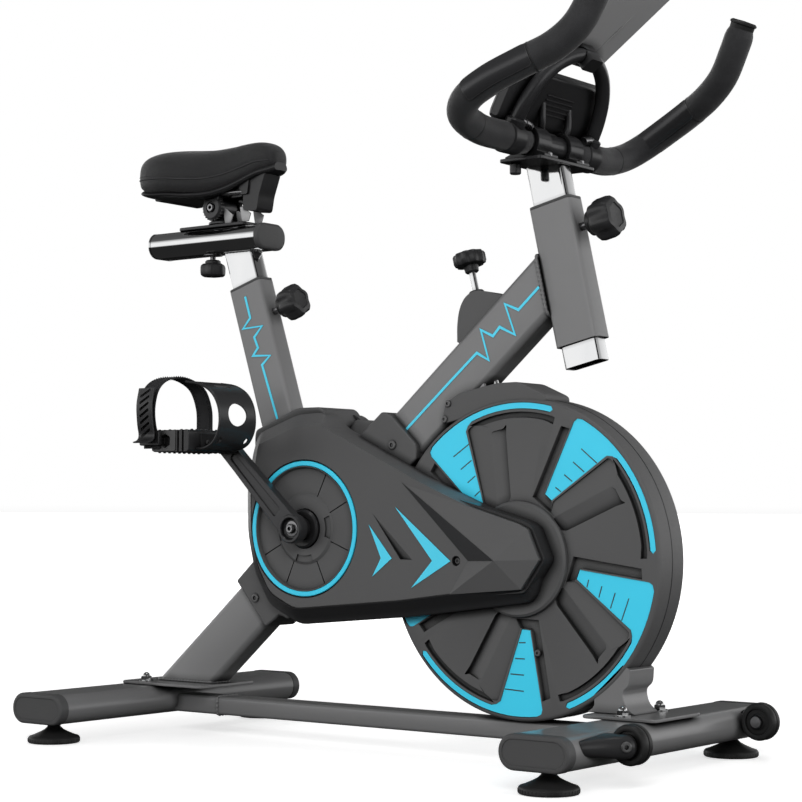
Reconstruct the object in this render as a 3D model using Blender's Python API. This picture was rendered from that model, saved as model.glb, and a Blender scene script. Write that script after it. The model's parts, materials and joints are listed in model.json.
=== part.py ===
"""Indoor cycling bike: frame, drive, brake, seat, handlebar and pedals as separate named parts."""
import math

import bmesh
import bpy
from mathutils import Vector

for old in list(bpy.data.objects):
    bpy.data.objects.remove(old)

sharpAngle = math.radians(30)

# Overall sizes, in metres. +X is forward, +Y is the rider's left, +Z is up.
gap = 0.0003
runningGap = 0.0001
stabiliserHalf = 0.233
stabiliserDeep = 0.094
stabiliserHigh = 0.040
stabiliserZ = 0.047
frontX = 0.380
rearX = -0.420
footY = 0.215
footRadius = 0.035
capThick = 0.0145
plateTop = 0.0715
beamSlope = math.radians(41.0)
beamDeep = 0.070
beamWide = 0.040
beamOffset = 0.2922
seatTilt = math.radians(17.75)
seatTubeTop = Vector((-0.2574, 0, 0.6291))
headTilt = math.radians(12.75)
headTop = Vector((0.2520, 0, 0.7000))
headLength = 0.180
crankAxis = Vector((-0.105, 0, 0.291))
crankLength = 0.168
crankAngle = math.radians(136.5)
crankSide = 0.080
crankThick = 0.014
flyAxis = Vector((0.216, 0, 0.2555))
drumRadius = 0.2015
flyRadius = 0.168
crankPulleyRadius = 0.075
flyPulleyRadius = 0.0225
beltNear = -0.0545
beltFar = -0.0400
guardBack = -0.0215
postHigh = 0.036
seatBarZ = 0.698
seatBarRear = -0.427
seatBarFront = -0.228
barRadius = 0.0185
loopRadius = 0.0095

beamAlong = Vector((math.cos(beamSlope), 0, math.sin(beamSlope)))
beamNormal = Vector((-math.sin(beamSlope), 0, math.cos(beamSlope)))
seatUp = Vector((-math.sin(seatTilt), 0, math.cos(seatTilt)))
seatFront = Vector((math.cos(seatTilt), 0, math.sin(seatTilt)))
headUp = Vector((-math.sin(headTilt), 0, math.cos(headTilt)))
headFront = Vector((math.cos(headTilt), 0, math.sin(headTilt)))
acrossY = Vector((0, 1, 0))

bike = bpy.data.collections.new("exercise_bike")
tools = bpy.data.collections.new("cutters")
bpy.context.scene.collection.children.link(bike)
bpy.context.scene.collection.children.link(tools)

looks = {
    "frame": ((0.090, 0.090, 0.095), 0.35, 0.3),
    "plastic": ((0.065, 0.065, 0.068), 0.45, 0.0),
    "chrome": ((0.80, 0.80, 0.82), 0.12, 1.0),
    "steel": ((0.45, 0.45, 0.47), 0.35, 1.0),
    "iron": ((0.20, 0.20, 0.21), 0.55, 0.9),
    "rubber": ((0.020, 0.020, 0.020), 0.80, 0.0),
    "foam": ((0.018, 0.018, 0.019), 0.75, 0.0),
    "leather": ((0.022, 0.022, 0.023), 0.50, 0.0),
    "grey": ((0.180, 0.180, 0.185), 0.45, 0.0),
}


def slotFor(kind):
    mat = bpy.data.materials.get(kind)
    if mat is None:
        colour, rough, metal = looks[kind]
        mat = bpy.data.materials.new(kind)
        mat.use_nodes = True
        node = mat.node_tree.nodes["Principled BSDF"]
        node.inputs["Base Color"].default_value = (*colour, 1)
        node.inputs["Roughness"].default_value = rough
        node.inputs["Metallic"].default_value = metal
    return mat


def finish(name, bm, kind, pivot=None):
    bmesh.ops.recalc_face_normals(bm, faces=bm.faces[:])
    mesh = bpy.data.meshes.new(name)
    origin = Vector(pivot) if pivot is not None else Vector((0, 0, 0))
    bmesh.ops.translate(bm, verts=bm.verts[:], vec=-origin)
    bm.to_mesh(mesh)
    bm.free()
    obj = bpy.data.objects.new(name, mesh)
    obj.location = origin
    if kind is None:
        obj.display_type = "WIRE"
        obj.hide_render = True
        tools.objects.link(obj)
    else:
        mesh.materials.append(slotFor(kind))
        mesh.shade_smooth()
        mesh.set_sharp_from_angle(angle=sharpAngle)
        bike.objects.link(obj)
    return obj


def boolean(obj, tool, how="DIFFERENCE"):
    mod = obj.modifiers.new(tool.name, "BOOLEAN")
    mod.operation = how
    mod.solver = "EXACT"
    mod.object = tool
    return obj


def rounded(wide, high, radius, steps=2):
    points = []
    for cx, cy, start in ((1, 1, 0), (-1, 1, 90), (-1, -1, 180), (1, -1, 270)):
        for k in range(steps + 1):
            a = math.radians(start + 90 * k / steps)
            x = cx * (wide / 2 - radius) + radius * math.cos(a)
            y = cy * (high / 2 - radius) + radius * math.sin(a)
            if not points or (Vector((x, y)) - Vector(points[-1])).length > 1e-6:
                points.append((x, y))
    return points


def onPlane(point, axis, plane):
    where, normal = plane
    return point + axis * ((Vector(where) - point).dot(normal) / axis.dot(normal))


def bar(name, kind, start, end, section, hole=None, uDir=None, planes=(None, None), pivot=None):
    bm = bmesh.new()
    start, end = Vector(start), Vector(end)
    axis = (end - start).normalized()
    side = acrossY if abs(axis.y) < 0.9 else Vector((0, 0, 1))
    across = Vector(uDir) if uDir else side.cross(axis).normalized()
    rings = []
    for outline in (section, hole):
        if outline is None:
            continue
        for centre, plane in ((start, planes[0]), (end, planes[1])):
            ring = []
            for u, v in outline:
                p = centre + across * u + side * v
                if plane is not None:
                    p = onPlane(p, axis, plane)
                ring.append(bm.verts.new(p))
            rings.append(ring)
    count = len(section)
    if hole is None:
        bm.faces.new(rings[0][::-1])
        bm.faces.new(rings[1])
        pairs = [(rings[0], rings[1])]
    else:
        pairs = [(rings[0], rings[1]), (rings[1], rings[3]), (rings[3], rings[2]), (rings[2], rings[0])]
    for a, b in pairs:
        for k in range(count):
            j = (k + 1) % count
            bm.faces.new((a[k], a[j], b[j], b[k]))
    return finish(name, bm, kind, pivot)


def prism(name, kind, outline, y0, y1, pivot=None, insetNear=0.0, nearY=None):
    bm = bmesh.new()
    stations = [(y0, outline), (y1, outline)]
    if nearY is not None:
        stations.append((nearY, inset(outline, insetNear)))
    rings = [[bm.verts.new((x, y, z)) for x, z in pts] for y, pts in stations]
    bm.faces.new(rings[0])
    bm.faces.new(rings[-1])
    for a, b in zip(rings, rings[1:]):
        for k in range(len(outline)):
            j = (k + 1) % len(outline)
            bm.faces.new((a[k], a[j], b[j], b[k]))
    return finish(name, bm, kind, pivot)


def inset(outline, amount):
    area = sum(a[0] * b[1] - b[0] * a[1] for a, b in zip(outline, outline[1:] + outline[:1]))
    sign = 1 if area > 0 else -1
    result = []
    count = len(outline)
    for k in range(count):
        before = Vector(outline[k]) - Vector(outline[k - 1])
        after = Vector(outline[(k + 1) % count]) - Vector(outline[k])
        n1 = Vector((-before.y, before.x)).normalized() * sign
        n2 = Vector((-after.y, after.x)).normalized() * sign
        step = (n1 + n2) / max(0.35, 1 + n1.dot(n2))
        result.append(tuple(Vector(outline[k]) + step * amount))
    return result


def lathe(name, kind, profile, centre, axis=acrossY, steps=48, pivot=None):
    bm = bmesh.new()
    turn = Vector((0, 0, 1)).rotation_difference(Vector(axis)).to_matrix()
    rings = []
    for r, a in profile:
        if r < 1e-9:
            rings.append([bm.verts.new(Vector(centre) + turn @ Vector((0, 0, a)))])
            continue
        ring = []
        for k in range(steps):
            t = 2 * math.pi * k / steps
            ring.append(bm.verts.new(Vector(centre) + turn @ Vector((r * math.cos(t), r * math.sin(t), a))))
        rings.append(ring)
    closed = profile[0][0] > 1e-9
    pairs = list(zip(rings, rings[1:]))
    if closed:
        pairs.append((rings[-1], rings[0]))
    for a, b in pairs:
        for k in range(steps):
            j = (k + 1) % steps
            corners = []
            for v in (a[k % len(a)], a[j % len(a)], b[j % len(b)], b[k % len(b)]):
                if v not in corners:
                    corners.append(v)
            if len(corners) > 2:
                bm.faces.new(corners)
    return finish(name, bm, kind, pivot)


def rod(name, kind, centre, axis, radius, a0, a1, steps=32, bore=None, pivot=None):
    if bore is None:
        profile = [(0, a0), (radius, a0), (radius, a1), (0, a1)]
    else:
        profile = [(radius, a0), (radius, a1), (bore, a1), (bore, a0)]
    return lathe(name, kind, profile, centre, axis, steps, pivot)


def smooth(points, steps=5):
    pts = [Vector(p) for p in points]
    pts = [pts[0] * 2 - pts[1]] + pts + [pts[-1] * 2 - pts[-2]]
    result = []
    for k in range(1, len(pts) - 2):
        a, b, c, d = pts[k - 1:k + 3]
        for s in range(steps):
            t = s / steps
            result.append(0.5 * (2 * b + (c - a) * t + (2 * a - 5 * b + 4 * c - d) * t * t
                                 + (3 * b - a - 3 * c + d) * t ** 3))
    result.append(pts[-2])
    return result


def sweep(name, kind, path, radius, sides=16, pivot=None):
    bm = bmesh.new()
    path = [Vector(p) for p in path]
    frame = None
    rings = []
    for k, p in enumerate(path):
        ahead = (path[min(k + 1, len(path) - 1)] - path[max(k - 1, 0)]).normalized()
        if frame is None:
            frame = ahead.orthogonal().normalized()
        frame = (frame - ahead * frame.dot(ahead)).normalized()
        other = ahead.cross(frame)
        ring = []
        for s in range(sides):
            t = 2 * math.pi * s / sides
            ring.append(bm.verts.new(p + (frame * math.cos(t) + other * math.sin(t)) * radius))
        rings.append(ring)
    bm.faces.new(rings[0])
    bm.faces.new(rings[-1])
    for a, b in zip(rings, rings[1:]):
        for s in range(sides):
            j = (s + 1) % sides
            bm.faces.new((a[s], a[j], b[j], b[s]))
    return finish(name, bm, kind, pivot)


def lobed(name, kind, centre, axis, radius, lobes, a0, a1, pin, pinFrom, pinTo, pivot=None, depth=0.13):
    bm = bmesh.new()
    turn = Vector((0, 0, 1)).rotation_difference(Vector(axis)).to_matrix()
    steps = lobes * (4 if lobes > 8 else 6)
    levels = [(0.72, a0), (1.0, a0 + (a1 - a0) * 0.3), (1.0, a0 + (a1 - a0) * 0.8), (0.86, a1)]
    rings = []
    for scale, a in levels:
        ring = []
        for k in range(steps):
            t = 2 * math.pi * k / steps
            r = radius * scale * (1 - depth + depth * math.cos(lobes * t))
            ring.append(bm.verts.new(Vector(centre) + turn @ Vector((r * math.cos(t), r * math.sin(t), a))))
        rings.append(ring)
    pinRings = []
    for a in (pinFrom, pinTo):
        ring = []
        for k in range(steps):
            t = 2 * math.pi * k / steps
            ring.append(bm.verts.new(Vector(centre) + turn @ Vector((pin * math.cos(t), pin * math.sin(t), a))))
        pinRings.append(ring)
    stack = [pinRings[0], pinRings[1], *rings]
    bm.faces.new(stack[0])
    bm.faces.new(stack[-1])
    for a, b in zip(stack, stack[1:]):
        for k in range(steps):
            j = (k + 1) % steps
            bm.faces.new((a[k], a[j], b[j], b[k]))
    return finish(name, bm, kind, pivot)


# Stabilisers, end caps, feet and transport wheels
footSection = rounded(stabiliserDeep, stabiliserHigh, stabiliserHigh / 2 - 0.0005, 4)
footHole = rounded(stabiliserDeep - 0.004, stabiliserHigh - 0.004, stabiliserHigh / 2 - 0.0025, 4)
for label, x in (("rear", rearX), ("front", frontX)):
    tube = bar(f"{label}_stabiliser", "frame", (x, -stabiliserHalf, stabiliserZ), (x, stabiliserHalf, stabiliserZ),
               footSection, footHole, uDir=(1, 0, 0))
    for side, sign in (("right", -1), ("left", 1)):
        near = stabiliserHalf + gap
        bar(f"{label}_cap_{side}", "plastic", (x, sign * near, stabiliserZ),
            (x, sign * (near + capThick), stabiliserZ), footSection, uDir=(1, 0, 0))
        profile = [(0, 0), (footRadius - 0.001, 0), (footRadius, 0.001), (footRadius, 0.0075), (0.011, 0.0185),
                   (0.008, 0.0235), (0.005, 0.0240), (0.005, 0.0420), (0, 0.0420)]
        lathe(f"foot_{label}_{side}", "rubber", profile, (x, sign * footY, 0), (0, 0, 1), 20,
              pivot=(x, sign * footY, 0))
        well = rod(f"footwell_{label}_{side}", None, (x, sign * footY, 0), (0, 0, 1), 0.005 + gap, 0.015, 0.035)
        boolean(tube, well)

wheelX = frontX + 0.0725
wheelZ = 0.054
wheelRadius = 0.0235
for side, sign in (("right", -1), ("left", 1)):
    outline = [(frontX + x, y) for x, y in ((0.032, 0.217), (0.052, 0.209), (0.076, 0.183), (0.087, 0.172),
                                            (0.087, 0.1665), (0.032, 0.1665))]
    bm = bmesh.new()
    low = [bm.verts.new((x, sign * y, 0.040)) for x, y in outline]
    high = [bm.verts.new((x, sign * y, 0.068)) for x, y in outline]
    bm.faces.new(low)
    bm.faces.new(high)
    for k in range(len(outline)):
        j = (k + 1) % len(outline)
        bm.faces.new((low[k], low[j], high[j], high[k]))
    bracket = finish(f"wheel_bracket_{side}", bm, "plastic")
    pin = rod(f"wheel_pin_{side}", None, (wheelX, 0, wheelZ), acrossY, 0.004, sign * 0.1435, sign * 0.1700)
    boolean(bracket, pin, "UNION")
    grown = rounded(stabiliserDeep + 2 * gap, stabiliserHigh + 2 * gap, stabiliserHigh / 2 - 0.0005, 4)
    bed = bar(f"bracket_bed_{side}", None, (frontX, sign * 0.150, stabiliserZ), (frontX, sign * 0.230, stabiliserZ),
              grown, uDir=(1, 0, 0))
    boolean(bracket, bed)
    y0, y1 = sign * 0.1460, sign * 0.1660
    mid = (y0 + y1) / 2
    profile = [(wheelRadius - 0.002, y0), (wheelRadius, y0 + sign * 0.002), (wheelRadius, y1 - sign * 0.002),
               (wheelRadius - 0.002, y1), (0.004 + runningGap, y1), (0.004 + runningGap, y0)]
    lathe(f"transport_wheel_{side}", "rubber", profile, (wheelX, 0, wheelZ), acrossY, 28,
          pivot=(wheelX, mid, wheelZ))

# Frame: bottom rail, plates, main beam, seat tube, head tube
rail = bar("bottom_rail", "frame", (rearX + 0.030, 0, 0.0415), (frontX - 0.030, 0, 0.0415),
           rounded(0.025, 0.042, 0.003, 2))
for label, x in (("rear", rearX), ("front", frontX)):
    grown = rounded(stabiliserDeep + 2 * gap, stabiliserHigh + 2 * gap, stabiliserHigh / 2 - 0.0005, 4)
    bed = bar(f"rail_bed_{label}", None, (x, -0.05, stabiliserZ), (x, 0.05, stabiliserZ), grown, uDir=(1, 0, 0))
    boolean(rail, bed)

stabiliserTop = stabiliserZ + stabiliserHigh / 2
for label, x0, x1, half in (("rear", rearX - 0.032, rearX + 0.124, 0.058), ("front", frontX - 0.058, frontX + 0.045, 0.058)):
    bar(f"{label}_plate", "frame", ((x0 + x1) / 2, 0, stabiliserTop + gap), ((x0 + x1) / 2, 0, plateTop),
        rounded(x1 - x0, 2 * half, 0.008))

beamStart = Vector((0, 0, 0)) + beamNormal * beamOffset + beamAlong * -0.18
beamEnd = beamStart + beamAlong * 0.90
beamFoot = ((0, 0, plateTop + gap), Vector((0, 0, 1)))
headRear = (headTop - headFront * (0.031 + gap), headFront)
beam = bar("main_beam", "frame", beamStart, beamEnd, rounded(beamDeep, beamWide, 0.007),
           rounded(beamDeep - 0.005, beamWide - 0.005, 0.0045), planes=(beamFoot, headRear))
shellCut = rod("bracket_hole", None, crankAxis, acrossY, 0.019 + gap, -0.03, 0.03, 48)
boolean(beam, shellCut)

pressAxis = (Vector((0.117, 0, 0.650)) - flyAxis).normalized()
brakeRod = 0.0045
rodCut = rod("brake_rod_hole", None, flyAxis, pressAxis, brakeRod + 0.0006, 0.225, 0.345, 24)
boolean(beam, rodCut)

beamTop = (beamNormal * (beamOffset + beamDeep / 2 + gap), beamNormal)
seatTube = bar("seat_tube", "frame", seatTubeTop - seatUp * 0.30, seatTubeTop + seatUp * 0.003,
               rounded(0.060, 0.032, 0.005), rounded(0.0525, 0.0265, 0.003), planes=(beamTop, None))
headTube = bar("head_tube", "frame", headTop - headUp * headLength, headTop,
               rounded(0.062, 0.034, 0.005), rounded(0.0570, 0.0270, 0.003))

# Bottom bracket shell, crank set
shellProfile = [(0.019, -0.035), (0.019, 0.035), (0.0085 + runningGap, 0.035), (0.0085 + runningGap, -0.035)]
lathe("bracket_shell", "steel", shellProfile, crankAxis, acrossY, 48)
rod("crank_axle", "steel", crankAxis, acrossY, 0.0085, -0.088, 0.088, 48, pivot=crankAxis)
pedalOffset = Vector((math.cos(crankAngle), 0, math.sin(crankAngle))) * crankLength
for side, sign in (("right", -1), ("left", 1)):
    end = crankAxis + pedalOffset * (-sign)
    along = (end - crankAxis).normalized()
    normal = Vector((-along.z, 0, along.x))
    outline = []
    for k in range(13):
        a = math.pi / 2 + math.pi * k / 12
        outline.append(crankAxis + along * math.cos(a) * 0.0190 + normal * math.sin(a) * 0.0190)
    for k in range(9):
        a = -math.pi / 2 + math.pi * k / 8
        outline.append(end + along * math.cos(a) * 0.0125 + normal * math.sin(a) * 0.0125)
    arm = prism(f"crank_arm_{side}", "frame", [(p.x, p.z) for p in outline], sign * crankSide,
                sign * (crankSide + crankThick), pivot=crankAxis)
    hub = rod(f"crank_bore_{side}", None, crankAxis, acrossY, 0.0085 + gap, sign * 0.0795, sign * 0.0885, 48)
    boolean(arm, hub)
    spindle = rod(f"pedal_spindle_{side}", None, end, acrossY, 0.0055, sign * (crankSide + 0.007), sign * 0.180, 32)
    boolean(arm, spindle, "UNION")
    y0, y1 = sign * 0.0975, sign * 0.1900
    pedal = bar(f"pedal_{side}", "plastic", (end.x, y0, end.z), (end.x, y1, end.z),
                rounded(0.062, 0.028, 0.004, 2), uDir=(1, 0, 0), pivot=end + acrossY * sign * 0.144)
    bore = rod(f"pedal_bore_{side}", None, end, acrossY, 0.0055 + runningGap, sign * 0.090, sign * 0.1815, 32)
    boolean(pedal, bore)
    for offset in (-0.0195, 0.0195):
        windowCut = bar(f"pedal_window_{side}_{'rear' if offset < 0 else 'front'}", None,
                        (end.x + offset, sign * 0.144, end.z - 0.02), (end.x + offset, sign * 0.144, end.z + 0.02),
                        rounded(0.014, 0.060, 0.003, 2))
        boolean(pedal, windowCut)
    path = smooth([(0.0325, 0, -0.009), (0.048, 0, -0.009), (0.063, 0, -0.001), (0.0715, 0, 0.018),
                   (0.070, 0, 0.042), (0.058, 0, 0.062), (0.038, 0, 0.073), (0.014, 0, 0.0775)], 4)
    outer, inner = [], []
    for k, p in enumerate(path):
        step = (path[min(k + 1, len(path) - 1)] - path[max(k - 1, 0)]).normalized()
        flat = Vector((step.z, 0, -step.x)) * 0.0015
        outer.append((end.x + p.x + flat.x, end.z + p.z + flat.z))
        inner.append((end.x + p.x - flat.x, end.z + p.z - flat.z))
    cage = prism(f"toe_cage_{side}", "plastic", outer + inner[::-1], sign * 0.112, sign * 0.178,
                 pivot=end + acrossY * sign * 0.144)
    eye = rod(f"cage_eye_{side}", None, (end.x, sign * 0.145, end.z + 0.034), (1, 0, 0), 0.015, 0.050, 0.085, 32)
    boolean(cage, eye)
    slit = bar(f"cage_slit_{side}", None, (end.x + 0.047, sign * 0.145, end.z + 0.045),
               (end.x + 0.047, sign * 0.145, end.z + 0.085), rounded(0.006, 0.030, 0.0025, 2))
    boolean(cage, slit)

# Drive: flywheel, pulleys, belt
axleRadius = 0.006
flyProfile = [(0, -0.0570), (axleRadius, -0.0570), (axleRadius, -0.0180), (0.020, -0.0180), (0.020, -0.0060),
              (0.140, -0.0060), (0.146, -0.0150), (flyRadius, -0.0150), (flyRadius, 0.0150), (0.146, 0.0150),
              (0.140, 0.0060), (0.020, 0.0060), (0.020, 0.0180), (axleRadius, 0.0180), (axleRadius, 0.0330),
              (0, 0.0330)]
lathe("flywheel", "iron", flyProfile, flyAxis, acrossY, 40, pivot=flyAxis)
grooves = []
for k in range(6):
    y = beltNear + (beltFar - beltNear) * k / 5
    grooves.append((flyPulleyRadius - (0.0012 if k % 2 else 0.0), y))
lathe("flywheel_pulley", "steel", grooves + [(axleRadius + gap, beltFar), (axleRadius + gap, beltNear)],
      flyAxis, acrossY, 28, pivot=flyAxis)
rimProfile = [(crankPulleyRadius, beltNear), (crankPulleyRadius, beltFar), (0.066, beltFar), (0.064, -0.0450),
              (0.024, -0.0450), (0.022, beltFar), (0.0085 + gap, beltFar), (0.0085 + gap, beltNear),
              (0.022, beltNear), (0.024, -0.0500), (0.064, -0.0500), (0.066, beltNear)]
lathe("crank_pulley", "plastic", rimProfile, crankAxis, acrossY, 32, pivot=crankAxis)


def beltLoop(radiusA, radiusB):
    reach = flyAxis - crankAxis
    span = reach.length
    tilt = math.atan2(reach.z, reach.x)
    lean = math.acos((radiusA - radiusB) / span)
    loop = []
    for k in range(21):
        a = tilt + lean + (2 * math.pi - 2 * lean) * k / 20
        loop.append((crankAxis.x + radiusA * math.cos(a), crankAxis.z + radiusA * math.sin(a)))
    for k in range(9):
        a = tilt - lean + 2 * lean * k / 8
        loop.append((flyAxis.x + radiusB * math.cos(a), flyAxis.z + radiusB * math.sin(a)))
    return loop


beltClear = 0.0005
inner = beltLoop(crankPulleyRadius + beltClear, flyPulleyRadius + beltClear)
outer = beltLoop(crankPulleyRadius + beltClear + 0.0035, flyPulleyRadius + beltClear + 0.0035)
bm = bmesh.new()
rings = [[bm.verts.new((x, y, z)) for x, z in loop]
         for loop, y in ((outer, beltNear + 0.0005), (outer, beltFar - 0.0005), (inner, beltFar - 0.0005),
                         (inner, beltNear + 0.0005))]
for k in range(4):
    a, b = rings[k], rings[(k + 1) % 4]
    for s in range(len(a)):
        j = (s + 1) % len(a)
        bm.faces.new((a[s], a[j], b[j], b[s]))
finish("drive_belt", bm, "rubber")

# Fork legs, fork foot and drum covers
legLine = [(0.1250, 0.4490), (0.1580, 0.4775), (0.2360, 0.2900), (0.2420, 0.2640), (0.3620, 0.1240), (0.3620, 0.0720),
           (0.3360, 0.0720), (0.3360, 0.1120), (0.2080, 0.2360), (0.1940, 0.2620)]
for side, sign in (("right", -1), ("left", 1)):
    leg = prism(f"fork_leg_{side}", "steel", legLine, sign * 0.0195, sign * 0.0240)
    hole = rod(f"leg_bore_{side}", None, flyAxis, acrossY, axleRadius + runningGap, sign * 0.015, sign * 0.028, 48)
    boolean(leg, hole)
footLine = [(0.3220, 0.0718), (0.3780, 0.0718), (0.3690, 0.0860), (0.3690, 0.1040), (0.3790, 0.1220), (0.3700, 0.1300),
            (0.3180, 0.0900)]
forkFoot = prism("fork_foot", "frame", footLine, -0.0290, 0.0290)
boolean(forkFoot, prism("foot_pocket", None, inset(legLine, -gap), -0.0243, 0.0243))
drumBed = rod("foot_drum_bed", None, flyAxis, acrossY, drumRadius + gap, -0.04, 0.04, 48)
boolean(forkFoot, drumBed)

for side, sign in (("right", -1), ("left", 1)):
    y = [sign * v for v in (0.0370, 0.0300, 0.0255, 0.0002, 0.0245, 0.0275, 0.0345)]
    profile = [(0.0085, y[0]), (0.0700, y[0]), (0.0730, y[1]), (drumRadius - 0.0045, y[1]), (drumRadius, y[2]),
               (drumRadius, y[3]), (drumRadius - 0.0025, y[3]), (drumRadius - 0.0025, y[4]), (0.1950, y[5]),
               (0.0720, y[5]), (0.0690, y[6]), (0.0085, y[6])]
    cover = lathe(f"drum_cover_{side}", "plastic", profile, flyAxis, acrossY, 48)
    hat = prism(f"drum_hat_{side}", None, [(0.104, 0.425), (0.250, 0.446), (0.254, 0.457), (0.216, 0.474), (0.190, 0.476), (0.125, 0.465), (0.101, 0.457)],
                sign * 0.0002, sign * 0.0295)
    boolean(cover, hat, "UNION")
    core = rod(f"drum_core_{side}", None, flyAxis, acrossY, drumRadius - 0.0030, sign * -0.001, sign * 0.0240, 48)
    boolean(cover, core)
    legSlot = prism(f"leg_slot_{side}", None, inset(legLine, -0.0008), sign * 0.0187, sign * 0.0248)
    boolean(cover, legSlot)
    rodSlot = rod(f"rod_slot_{side}", None, flyAxis, pressAxis, brakeRod + 0.0006, 0.185, 0.260, 24)
    boolean(cover, rodSlot)
    low, high = beamOffset - beamDeep / 2 - gap, beamOffset + beamDeep / 2 + gap
    corners = [beamNormal * n + beamAlong * a for n, a in ((low, 0.2), (low, 0.62), (high, 0.62), (high, 0.2))]
    beamBed = prism(f"cover_beam_bed_{side}", None, [(p.x, p.z) for p in corners], sign * -0.001,
                    sign * (beamWide / 2 + gap))
    boolean(cover, beamBed)

# Brake: knob with its rod and pad, cover on the beam
knobHeight = 0.3985
lobed("brake_knob", "plastic", flyAxis, pressAxis, 0.0215, 10, knobHeight - 0.012, knobHeight + 0.008, brakeRod,
      0.1895, knobHeight - 0.016, pivot=flyAxis + pressAxis * knobHeight, depth=0.06)
padProfile = []
for k in range(9):
    a = math.radians(-9 + 18 * k / 8)
    padProfile.append((0.1745, a))
for k in range(9):
    a = math.radians(9 - 18 * k / 8)
    padProfile.append((0.1890, a))
base = math.atan2(pressAxis.z, pressAxis.x)
prism("brake_pad", "rubber", [(flyAxis.x + r * math.cos(base + a), flyAxis.z + r * math.sin(base + a))
                              for r, a in padProfile], -0.0120, 0.0120,
      pivot=flyAxis + pressAxis * knobHeight)
dome = [(0.1120, 0.5312), (0.1130, 0.5600), (0.1180, 0.5800), (0.1280, 0.5930), (0.1400, 0.5975), (0.1550, 0.5960),
        (0.1800, 0.5902)]
brakeCover = prism("brake_cover", "plastic", dome, -0.0175, 0.0175)
sleeve = rod("cover_rod_hole", None, flyAxis, pressAxis, brakeRod + 0.0006, 0.290, 0.420, 24)
boolean(brakeCover, sleeve)

# Belt guards
guardLine = [(-0.219, 0.347), (-0.218, 0.285), (-0.206, 0.234), (-0.178, 0.188), (-0.124, 0.163), (0.056, 0.179),
             (0.246, 0.204), (0.266, 0.257), (0.244, 0.292), (0.082, 0.357), (-0.067, 0.427), (-0.084, 0.446),
             (-0.130, 0.444), (-0.200, 0.420), (-0.210, 0.394)]
for side, sign, face, inner in (("right", -1, 0.066, 0.0635), ("left", 1, 0.056, 0.0535)):
    guard = prism(f"belt_guard_{side}", "plastic", guardLine, sign * -guardBack, sign * (face - 0.018),
                  insetNear=0.014, nearY=sign * face)
    hollow = prism(f"guard_hollow_{side}", None, inset(guardLine, 0.003), sign * 0.015, sign * (face - 0.0195),
                   insetNear=0.014, nearY=sign * inner)
    boolean(guard, hollow)
    drumCut = rod(f"guard_drum_{side}", None, flyAxis, acrossY, drumRadius + 0.0006, sign * 0.010, sign * 0.0306, 48)
    boolean(guard, drumCut)
    hubCut = rod(f"guard_hub_{side}", None, flyAxis, acrossY, 0.0740, sign * 0.020, sign * 0.0376, 48)
    boolean(guard, hubCut)
    eye = rod(f"guard_eye_{side}", None, crankAxis, acrossY, 0.027, sign * (inner - 0.004), sign * (face + 0.004), 48)
    boolean(guard, eye)

# Seat: post, bar, carriage, clamp, rails, base and pad
seatBarBottom = seatBarZ - postHigh / 2
postTop = ((0, 0, seatBarBottom - gap), Vector((0, 0, 1)))
bar("seat_post", "chrome", seatTubeTop - seatUp * 0.215, seatTubeTop + seatUp * 0.04,
    rounded(0.0515, 0.0255, 0.0025), rounded(0.0475, 0.0215, 0.001), planes=(None, postTop),
    pivot=seatTubeTop)
seatBar = bar("seat_bar", "chrome", (seatBarRear, 0, seatBarZ), (seatBarFront, 0, seatBarZ),
              rounded(postHigh, 0.060, 0.0175, 3), rounded(postHigh - 0.004, 0.056, 0.0155, 3), pivot=seatTubeTop)
carriageX = -0.331
barSlot = bar("seat_bar_slot", None, (carriageX + 0.010, 0, seatBarZ - 0.030), (carriageX + 0.010, 0, seatBarZ + 0.030),
              rounded(0.120, 0.0094, 0.0045, 4))
boolean(seatBar, barSlot)
bar("seat_bar_cap", "grey", (seatBarFront + gap, 0, seatBarZ), (seatBarFront + 0.006, 0, seatBarZ),
    rounded(postHigh, 0.060, 0.0175, 3), pivot=seatTubeTop)
bar("seat_bar_end", "chrome", (seatBarRear - 0.004, 0, seatBarZ), (seatBarRear - gap, 0, seatBarZ),
    rounded(postHigh, 0.060, 0.0175, 3), pivot=seatTubeTop)
seatBarTop = seatBarZ + postHigh / 2
carriagePivot = Vector((carriageX, 0, seatBarTop))
bar("saddle_carriage", "frame", (-0.319, 0, seatBarTop + gap), (-0.319, 0, seatBarTop + 0.0060),
    rounded(0.128, 0.040, 0.006), pivot=carriagePivot)
lobed("carriage_knob", "plastic", (carriageX, 0, 0.660), (0, 0, -1), 0.0185, 6, -0.008, 0.013, 0.004,
      -(seatBarTop - 0.660 + 0.0), -0.011, pivot=(carriageX, 0, 0.660), depth=0.10)
clampPivot = Vector((-0.312, 0, 0.744))
stem = rod("saddle_clamp", "frame", (-0.312, 0, 0), (0, 0, 1), 0.0115, seatBarTop + 0.0063, 0.740, 32,
           pivot=carriagePivot)
drum = rod("clamp_drum", None, clampPivot, acrossY, 0.0140, -0.0270, 0.0270, 40)
boolean(stem, drum, "UNION")

railPath = [(-0.398, -0.040, 0.7645), (-0.388, -0.032, 0.7625), (-0.372, -0.024, 0.7625), (-0.312, -0.0215, 0.7625),
            (-0.272, -0.0200, 0.7625), (-0.258, -0.0140, 0.7625), (-0.2555, 0, 0.7625), (-0.258, 0.0140, 0.7625),
            (-0.272, 0.0200, 0.7625), (-0.312, 0.0215, 0.7625), (-0.372, 0.024, 0.7625), (-0.388, 0.032, 0.7625),
            (-0.398, 0.040, 0.7645)]
sweep("saddle_rails", "steel", smooth(railPath, 2), 0.0034, 8, pivot=clampPivot)

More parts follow.
